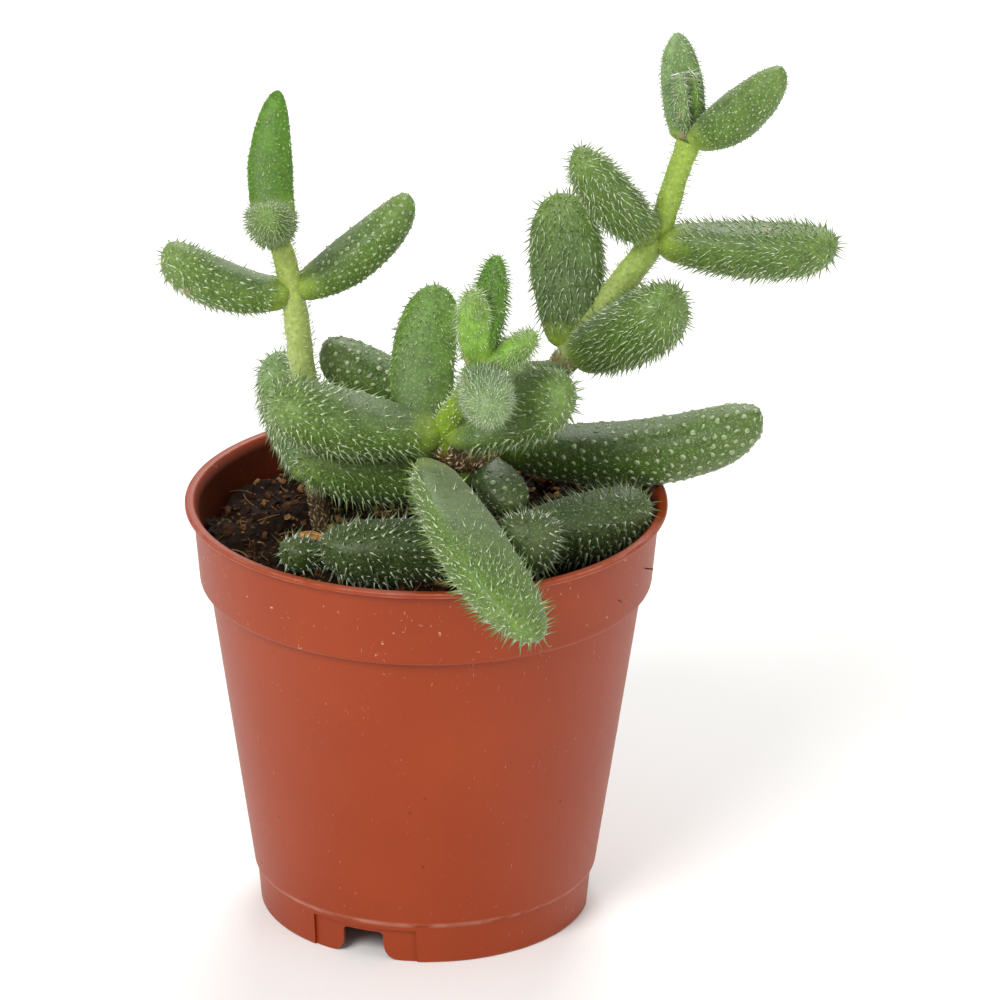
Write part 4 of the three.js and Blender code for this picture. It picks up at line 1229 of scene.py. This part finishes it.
LEAVES = [
    # name, shoot and node or place, heading, rise, length, width, depth, curl, sway, twist, shape,
    # bluntness, coat, skin
    ("left_leaf_out", ("left", 4), -169, 24, 15.6, 6, 5.5, 40, 0, 0,
     "gherkin", 2.8, "bearded", "mature"),
    ("left_leaf_in", ("left", 4), 9, 39, 17.2, 5.8, 5.3, 26, 0, 0,
     "spindle", 2.6, "studded", "mature"),
    ("left_leaf_back", ("left", 5), 88, 63, 15.4, 5.2, 4.2, 4, 22, 0,
     "horn", 1.36, "beaded", "grassy"),
    ("left_leaf_front", ("left", 5), -93, 28, 12.8, 4.9, 4.5, 4, 0, 0,
     "gherkin", 2.4, "woolly", "mature"),
    ("left_leaf_low", ("left", 2), 120, 54, 15.8, 7, 6, 14, 0, 0, "gherkin", 2.6, "furry", "pale"),
    ("centre_leaf_left", ("centre", 5), -176, 14, 20.2, 8.6, 7.4, 24, 0, -6,
     "club", 3, "bristly", "mature"),
    ("centre_leaf_right", ("centre", 5), -28, 27, 17.6, 8.6, 5.8, 10, 0, 44,
     "gherkin", 2.6, "bristly", "mature"),
    ("centre_leaf_back", (1, -3.6, 56.2), 85, 61, 19.3, 7.2, 5.2, 6, 46, 0,
     "paddle", 3.4, "fringed", "lush"),
    ("centre_leaf_front", (1.1, -4.3, 55.3), -70.3, -12.6, 34.4, 10, 5.8, -48, -38, -26,
     "club", 2.4, "bristly", "mature"),
    ("centre_leaf_low_left", ("centre", 3), -173, 5, 21, 7.4, 7.4, 14, 0, 0,
     "gherkin", 2.4, "spiny", "mature"),
    ("centre_leaf_low_right", ("centre", 3), -58, -20, 8.4, 5.4, 4.6, 0, 0, 0,
     "gherkin", 2.4, "warty", "dusky"),
    ("young_leaf_front", ("centre", 7), -79, -8, 9, 5.5, 5.3, 6, 0, 0,
     "gherkin", 2.6, "woolly", "pale"),
    ("young_leaf_back", ("centre", 7), 66, 66, 12.8, 3.8, 3.3, 6, 0, 0,
     "paddle", 2, "downy", "grassy"),
    ("young_leaf_left", ("centre", 7), 100, 82, 9, 3.8, 3.4, 4, 12, 0,
     "gherkin", 2.2, "downy", "young"),
    ("young_leaf_right", ("centre", 7), 9, 32, 7.6, 3.2, 3, 10, 0, 0,
     "gherkin", 2, "downy", "young"),
    ("right_leaf_low_right", ("right", 2), -11, 10, 31.6, 8.4, 7.4, 38, 0, 0,
     "gherkin", 3, "warty", "dark"),
    ("right_leaf_low_left", ("right", 2), 171, 28, 22, 7.4, 6.8, 8, 0, 0,
     "gherkin", 3, "warty", "dark"),
    ("right_leaf_low_front", ("right", 4), -118, 14, 9.4, 5, 4.2, 8, 0, 0,
     "gherkin", 2.4, "bearded", "mature"),
    ("right_leaf_mid_left", ("right", 5), 105, 74, 18, 8.6, 5.4, 6, 0, -30,
     "gherkin", 2.4, "furry", "mature"),
    ("right_leaf_mid_right", ("right", 5), -36, 36, 17.4, 8.4, 7.6, 6, 0, 0,
     "gherkin", 2.8, "furry", "mature"),
    ("right_leaf_high_left", ("right", 7), -146, 50, 16.8, 6.2, 5.6, 4, 0, 0,
     "spindle", 2.6, "furry", "mature"),
    ("right_leaf_high_right", ("right", 7), -8, 1.5, 20.8, 6.9, 6.2, 8, 0, 0,
     "gherkin", 3.2, "furry", "mature"),
    ("right_leaf_top_left", ("right", 9), 118, 76, 12.4, 4.8, 4.1, 12, 0, -20,
     "paddle", 1.6, "velvet", "pale"),
    ("right_leaf_top_right", ("right", 9), -20, 43, 14.8, 6.3, 5.6, 8, 0, 0,
     "spindle", 1.8, "beaded", "mature"),
    ("right_bud_left", ("right", 9), 200, 82, 8.4, 2.3, 1.7, 8, 0, 0,
     "gherkin", 1.6, "woolly", "pale"),
    ("right_bud_right", ("right", 9), 82, 86, 8.4, 2.3, 1.7, 8, 0, 0,
     "gherkin", 1.6, "downy", "young"),
    ("low_leaf_left", ("low", 2), -170, 3.5, 20.8, 8, 7.4, 6, 0, 0,
     "gherkin", 2.8, "spiny", "dusky"),
    ("low_leaf_front", ("low", 2), -70, 29, 12, 8, 7.2, 6, 0, 0, "gherkin", 2.4, "spiny", "dusky"),
    ("low_leaf_right", ("low", 2), 19, 9, 17.8, 8.2, 7.6, 6, 0, 0,
     "gherkin", 2.8, "spiny", "dusky"),
    ("back_leaf_left", ("back", 2), 168, 14, 13, 6.4, 5.6, 14, 0, 0,
     "gherkin", 2.4, "warty", "dark"),
    ("back_leaf_right", ("back", 2), -8, 10, 12, 6, 5.2, 14, 0, 0, "gherkin", 2.4, "warty", "dark"),
    ("small_leaf_front_left", (-10.4, -5.6, 45.2), -150, 16, 7, 4.6, 4, 6, 0, 0,
     "gherkin", 2, "spiny", "dusky"),
    ("dried_leaf_left", (-15.2, -1.7, 45.2), -25, 6, 4.2, 1.8, 0.9, -40, 0, 25,
     "gherkin", 1.4, "none", "dried"),
    ("dried_leaf_middle", (-6, 6.4, 44.9), 12, 4, 3.6, 1.6, 0.9, 30, 0, -20,
     "gherkin", 1.4, "none", "dried"),
]
print(len(LEAVES), "leaves")

# %% [markdown]
# A withered leaf has lost its water, so it is a thin orange-brown skin, matt and wrinkled. It
# shares nothing with living skin but its outline, so it has a material of its own: one noise
# half a millimetre wide colours its wrinkles and raises them.

# %% Withered leaf


def withered_leaf():
    """Dry leaf skin: orange-brown, darker in its wrinkles."""
    made, tree, shader, spot = new_material("withered_leaf", {})
    wrinkles = add(tree, NOISE, {"Vector": spot, "Scale": 1 / (0.5 * MM), "Detail": 4})
    tint = add(tree, "ShaderNodeValToRGB", [wrinkles])
    ramp(tint, [(0.3, "#7a4a22"), (0.55, "#c08444"), (0.75, "#dcb47c")])
    rough = add(tree, MAP_RANGE, [wrinkles, 0, 1, 0.7, 0.9])
    bump = add(tree, "ShaderNodeBump", {"Height": wrinkles, "Strength": 0.6, "Distance": 0.2 * MM})
    feed(tree, shader, {"Base Color": tint, "Roughness": rough, "Normal": bump})
    return made


SKINS["dried"] = withered_leaf()
print("withered leaf ready")

# %% [markdown]
# Each leaf is grown along its own X axis and then stood in its place. Its matrix has the way to
# the tip as its first direction and the way out of the flat face as its last. Growing each leaf
# at the origin and moving the finished mesh keeps every object unturned and unscaled.

# %% Grow the leaves
FIRST_LEAF_SEED = 11
LEAST_BEND = 0.001


def leaf_matrix(base, heading, rise):
    """Stands a leaf that grew along X with its face to Z at its base, pointing its way."""
    turn = Matrix.Rotation(math.radians(heading), 4, "Z")
    lift = Matrix.Rotation(-math.radians(rise), 4, "Y")
    return Matrix.Translation(base) @ turn @ lift


host = bpy.data.objects.new("host", bpy.data.meshes.new("host"))
bpy.context.scene.collection.objects.link(host)
total = 0
for order, row in enumerate(LEAVES):
    name, seat, heading, rise, length, width, depth, curl, sway, twist = row[:10]
    shape, bluntness, coat, skin = row[10:]
    waist, widest = SHAPES[shape]
    base = SHOOTS[seat[0]][seat[1]][:3] if isinstance(seat[0], str) else seat
    worn = dict(zip(COAT_SIZES, COATS[coat]))
    mesh = grow(host, PICKLE_LEAF, {
        **{label: size * MM for label, size in worn.items()},
        "Bristle Lean": math.radians(worn["Bristle Lean"]), "Bare Face": worn["Bare Face"],
        "Length": length * MM, "Width": width * MM, "Depth": depth * MM,
        "Waist": waist, "Widest": widest, "Bluntness": float(bluntness),
        "Bend": max(math.radians(math.hypot(curl, sway)), LEAST_BEND),
        "Bend Direction": math.atan2(sway, curl), "Twist": math.radians(twist),
        "Seed": FIRST_LEAF_SEED + order, "Material": SKINS[skin],
    })
    mesh.transform(leaf_matrix(place(*base), heading, rise))
    kept(f"{name}_bristly", mesh, name)
    mesh.calc_loop_triangles()
    total += len(mesh.loop_triangles)
    print(name, len(mesh.loop_triangles), "triangles")
bpy.data.objects.remove(host)
print(len(LEAVES), "leaves,", total, "triangles")

# %% [markdown]
# Potting soil is peat, bark crumbs and fibres. Its surface is a disc with waves and a finer noise,
# closed below into a plug that fills the pot. Crumbs, chips and fibres are scattered on it by a
# tree, and each one takes its own tint, from nearly black to straw.

# %% Soil plug
SOIL_Z = 44.4
SOIL_LUMP = 0.55
SOIL_RISE = 0.8
FINE_LUMPS = (0.9, 0.8)
BROAD_LUMPS = (0.45, 0.6)
LUMP_SHIFT = (1.3, -0.4)
SOIL_GAP = 0.3
SOIL_SIDES = 120
SOIL_RINGS = 46


def soil_height(x, y):
    """Height of the soil at a place: it rises a little to the back, with two sizes of lumps."""
    fine = math.sin(x * FINE_LUMPS[0] + LUMP_SHIFT[0]) * math.cos(y * FINE_LUMPS[1] + LUMP_SHIFT[1])
    broad = math.sin(x * BROAD_LUMPS[0] - y * BROAD_LUMPS[1])
    return SOIL_Z + SOIL_RISE * (y / RIM_RADIUS) + SOIL_LUMP * (fine + broad)


def soil_plug():
    """A closed plug of soil: floor, flank, ledge and a finely divided surface."""
    mesh = bmesh.new()
    floor_z = floor_top + SOIL_GAP
    ledge_z = COLLAR_FOOT_Z + WALL + SOIL_GAP
    outer = COLLAR_FOOT_RADIUS - WALL - 0.1
    levels = [(CONE_FOOT_RADIUS - WALL - SOIL_GAP, floor_z), (CONE_TOP_RADIUS - WALL - SOIL_GAP, ledge_z)]
    levels += [(outer, ledge_z)]
    levels += [(outer * (1 - k / SOIL_RINGS), None) for k in range(SOIL_RINGS)]
    rings = []
    for radius, z in levels:
        ring = []
        for k in range(SOIL_SIDES):
            x = radius * math.cos(2 * math.pi * k / SOIL_SIDES)
            y = radius * math.sin(2 * math.pi * k / SOIL_SIDES)
            ring.append(mesh.verts.new(place(x, y, soil_height(x, y) if z is None else z)))
        rings.append(ring)
    bottom = mesh.verts.new(place(0, 0, floor_z))
    top = mesh.verts.new(place(0, 0, soil_height(0, 0)))
    for k in range(SOIL_SIDES):
        j = (k + 1) % SOIL_SIDES
        mesh.faces.new((bottom, rings[0][j], rings[0][k]))
        for low, high in zip(rings, rings[1:]):
            mesh.faces.new((low[k], low[j], high[j], high[k]))
        mesh.faces.new((rings[-1][k], rings[-1][j], top))
    return mesh


plug = mesh_object("plug", soil_plug())
print("soil plug", len(plug.data.polygons), "faces")

# %% [markdown]
# On the lumpy surface lie crumbs of bark in three sizes and dry fibres of peat. Each size is
# scattered by itself with its own least distance, because small crumbs fill the gaps between
# large ones. A crumb is a rough little ball, flattened and turned at random. A fibre is a short
# curve with a thin round section.

# %% Crumbs and fibres
CRUMBS = [
    # least distance between crumbs, smallest and largest size in millimetres, flatness
    (0.8, 0.25, 0.65, 0.7),
    (1.5, 0.6, 1.4, 0.6),
    (3.6, 1.0, 2.4, 0.45),
]
FIBRE_SPACING = 1.9
FIBRE_LENGTHS = (1.5, 4.5)
BITE = 0.9


def strewn(tree, surface, on_top, thing, size, spacing, crowding, tilt, darkest, seeds):
    """Copies of a thing strewn on the surface as real mesh, each with its own turn and tint."""
    scatter_seed, turn_seed, tint_seed = seeds
    points = add(tree, SCATTER, {
        "Mesh": surface, "Selection": on_top, "Distance Min": spacing * MM,
        "Density Max": crowding / (spacing * MM) ** 2, "Seed": scatter_seed,
    }, distribute_method="POISSON")
    turn = add(tree, RANDOM, {
        "Min": (-tilt, -tilt, -3.14), "Max": (tilt, tilt, 3.14), "Seed": turn_seed,
    }, data_type="FLOAT_VECTOR")
    placed = add(tree, "GeometryNodeInstanceOnPoints", {
        "Points": points, "Instance": thing, "Rotation": add(tree, "FunctionNodeEulerToRotation", [turn]),
        "Scale": size,
    })
    tint = add(tree, RANDOM, {"Min": darkest, "Max": 1.0, "Seed": tint_seed}, data_type="FLOAT")
    tinted = add(tree, STORE, {"Geometry": placed, "Name": "tint", "Value": tint}, domain="INSTANCE")
    return add(tree, "GeometryNodeRealizeInstances", {"Geometry": tinted})


def crumb_layer(tree, surface, on_top, order, distance, small, large, flatness):
    """Crumbs of one range of sizes, bitten by a noise so that no two are alike."""
    lump = add(tree, "GeometryNodeMeshIcoSphere", {"Radius": 0.5, "Subdivisions": 1 + (order > 0)})
    size = add(tree, RANDOM, {
        "Min": (small * MM, small * MM, small * flatness * MM),
        "Max": (large * MM, large * MM, large * flatness * MM), "Seed": 30 + order,
    }, data_type="FLOAT_VECTOR")
    crumbs = strewn(
        tree, surface, on_top, lump, size, spacing=distance, crowding=3, tilt=0.6, darkest=0.0,
        seeds=(order, 20 + order, 50 + order),
    )
    bite = add(tree, NOISE, {"Scale": 2 / (large * MM), "Detail": 2})
    return dented(tree, crumbs, bite, large * BITE * MM)


def fibre_layer(tree, surface, on_top):
    """Thin curved threads that lie on the surface."""
    thread = add(tree, "GeometryNodeCurveQuadraticBezier", {
        "Resolution": 6, "Start": (-0.5, 0, 0), "Middle": (0, 0.35, 0.16), "End": (0.5, -0.1, 0.02),
    })
    ring = add(tree, "GeometryNodeCurvePrimitiveCircle", {"Resolution": 3, "Radius": 0.022})
    fibre = add(tree, "GeometryNodeCurveToMesh", {
        "Curve": thread, "Profile Curve": ring, "Fill Caps": True,
    })
    shortest, longest = (length * MM for length in FIBRE_LENGTHS)
    size = add(tree, RANDOM, {"Min": shortest, "Max": longest, "Seed": 62}, data_type="FLOAT")
    return strewn(
        tree, surface, on_top, fibre, size, spacing=FIBRE_SPACING, crowding=1, tilt=0.3, darkest=0.55,
        seeds=(9, 61, 63),
    )


print(len(CRUMBS), "sizes of crumbs, and fibres")

# %% Soil tree


def crumbly_soil_tree():
    """Roughens the plug's surface and scatters crumbs, chips and fibres on it."""
    tree, given, result = new_tree("crumbly_soil", {
        "Geometry": "geometry", "Roughness Size": 0.0028, "Roughness Height": 0.0034,
        "Material": "material",
    })
    facing = add(tree, "ShaderNodeSeparateXYZ", [add(tree, "GeometryNodeInputNormal")]).outputs["Z"]
    on_top = add(tree, "FunctionNodeCompare", [facing, 0.5], operation="GREATER_THAN")
    scale = add(tree, MATH, [1.0, given["Roughness Size"]], operation="DIVIDE")
    noise = add(tree, NOISE, {"Scale": scale, "Detail": 6, "Roughness": 0.65})
    centred = add(tree, MATH, [noise, 0.5], operation="SUBTRACT")
    rise = add(tree, MATH, [centred, given["Roughness Height"]], operation="MULTIPLY")
    rough = add(tree, "GeometryNodeSetPosition", {
        "Geometry": given["Geometry"], "Selection": on_top, "Offset": add(tree, COMBINE, {"Z": rise}),
    })
    joined = add(tree, JOIN)
    for order, row in enumerate(CRUMBS):
        feed(tree, joined, [crumb_layer(tree, rough, on_top, order, *row)])
    feed(tree, joined, [fibre_layer(tree, rough, on_top)])
    feed(tree, joined, [rough])
    finished = add(tree, "GeometryNodeSetMaterial", {"Geometry": joined, "Material": given["Material"]})
    feed(tree, result, [finished])
    return tree


CRUMBLY_SOIL = crumbly_soil_tree()
print("soil tree has", len(CRUMBLY_SOIL.nodes), "nodes")

# %% [markdown]
# Moist peat is matt and nearly black. Its crumbs carry a tint from the tree, so one ramp of four
# earth colours serves them all, from wet peat through bark to dry straw.

# %% Peat


def peat():
    """Moist peat: matt and nearly black between lighter crumbs and straw-coloured fibres."""
    made, tree, shader, spot = new_material("peat", {"Specular IOR Level": 0.15})
    tint = add(tree, "ShaderNodeAttribute", attribute_name="tint").outputs["Fac"]
    noise = add(tree, NOISE, {"Vector": spot, "Scale": 1 / (0.7 * MM), "Detail": 5})
    mixed = add(tree, MATH, [noise, 0.45, -0.12], operation="MULTIPLY_ADD")
    level = add(tree, MATH, [tint, 0.8, mixed], operation="MULTIPLY_ADD")
    body = add(tree, "ShaderNodeValToRGB", [level])
    ramp(body, [(0.0, "#100602"), (0.42, "#2c180a"), (0.7, "#56361c"), (0.97, "#8e6a40")])
    rough = add(tree, MAP_RANGE, [noise, 0, 1, 0.75, 0.95])
    bump = add(tree, "ShaderNodeBump", {"Height": noise, "Strength": 0.7, "Distance": 0.3 * MM})
    feed(tree, shader, {"Base Color": body, "Roughness": rough, "Normal": bump})
    return made


soil_mesh = grow(plug, CRUMBLY_SOIL, {"Material": peat()})
bpy.data.objects.remove(plug)
kept("soil_crumbly", soil_mesh, "soil")
print("soil", len(soil_mesh.polygons), "faces")
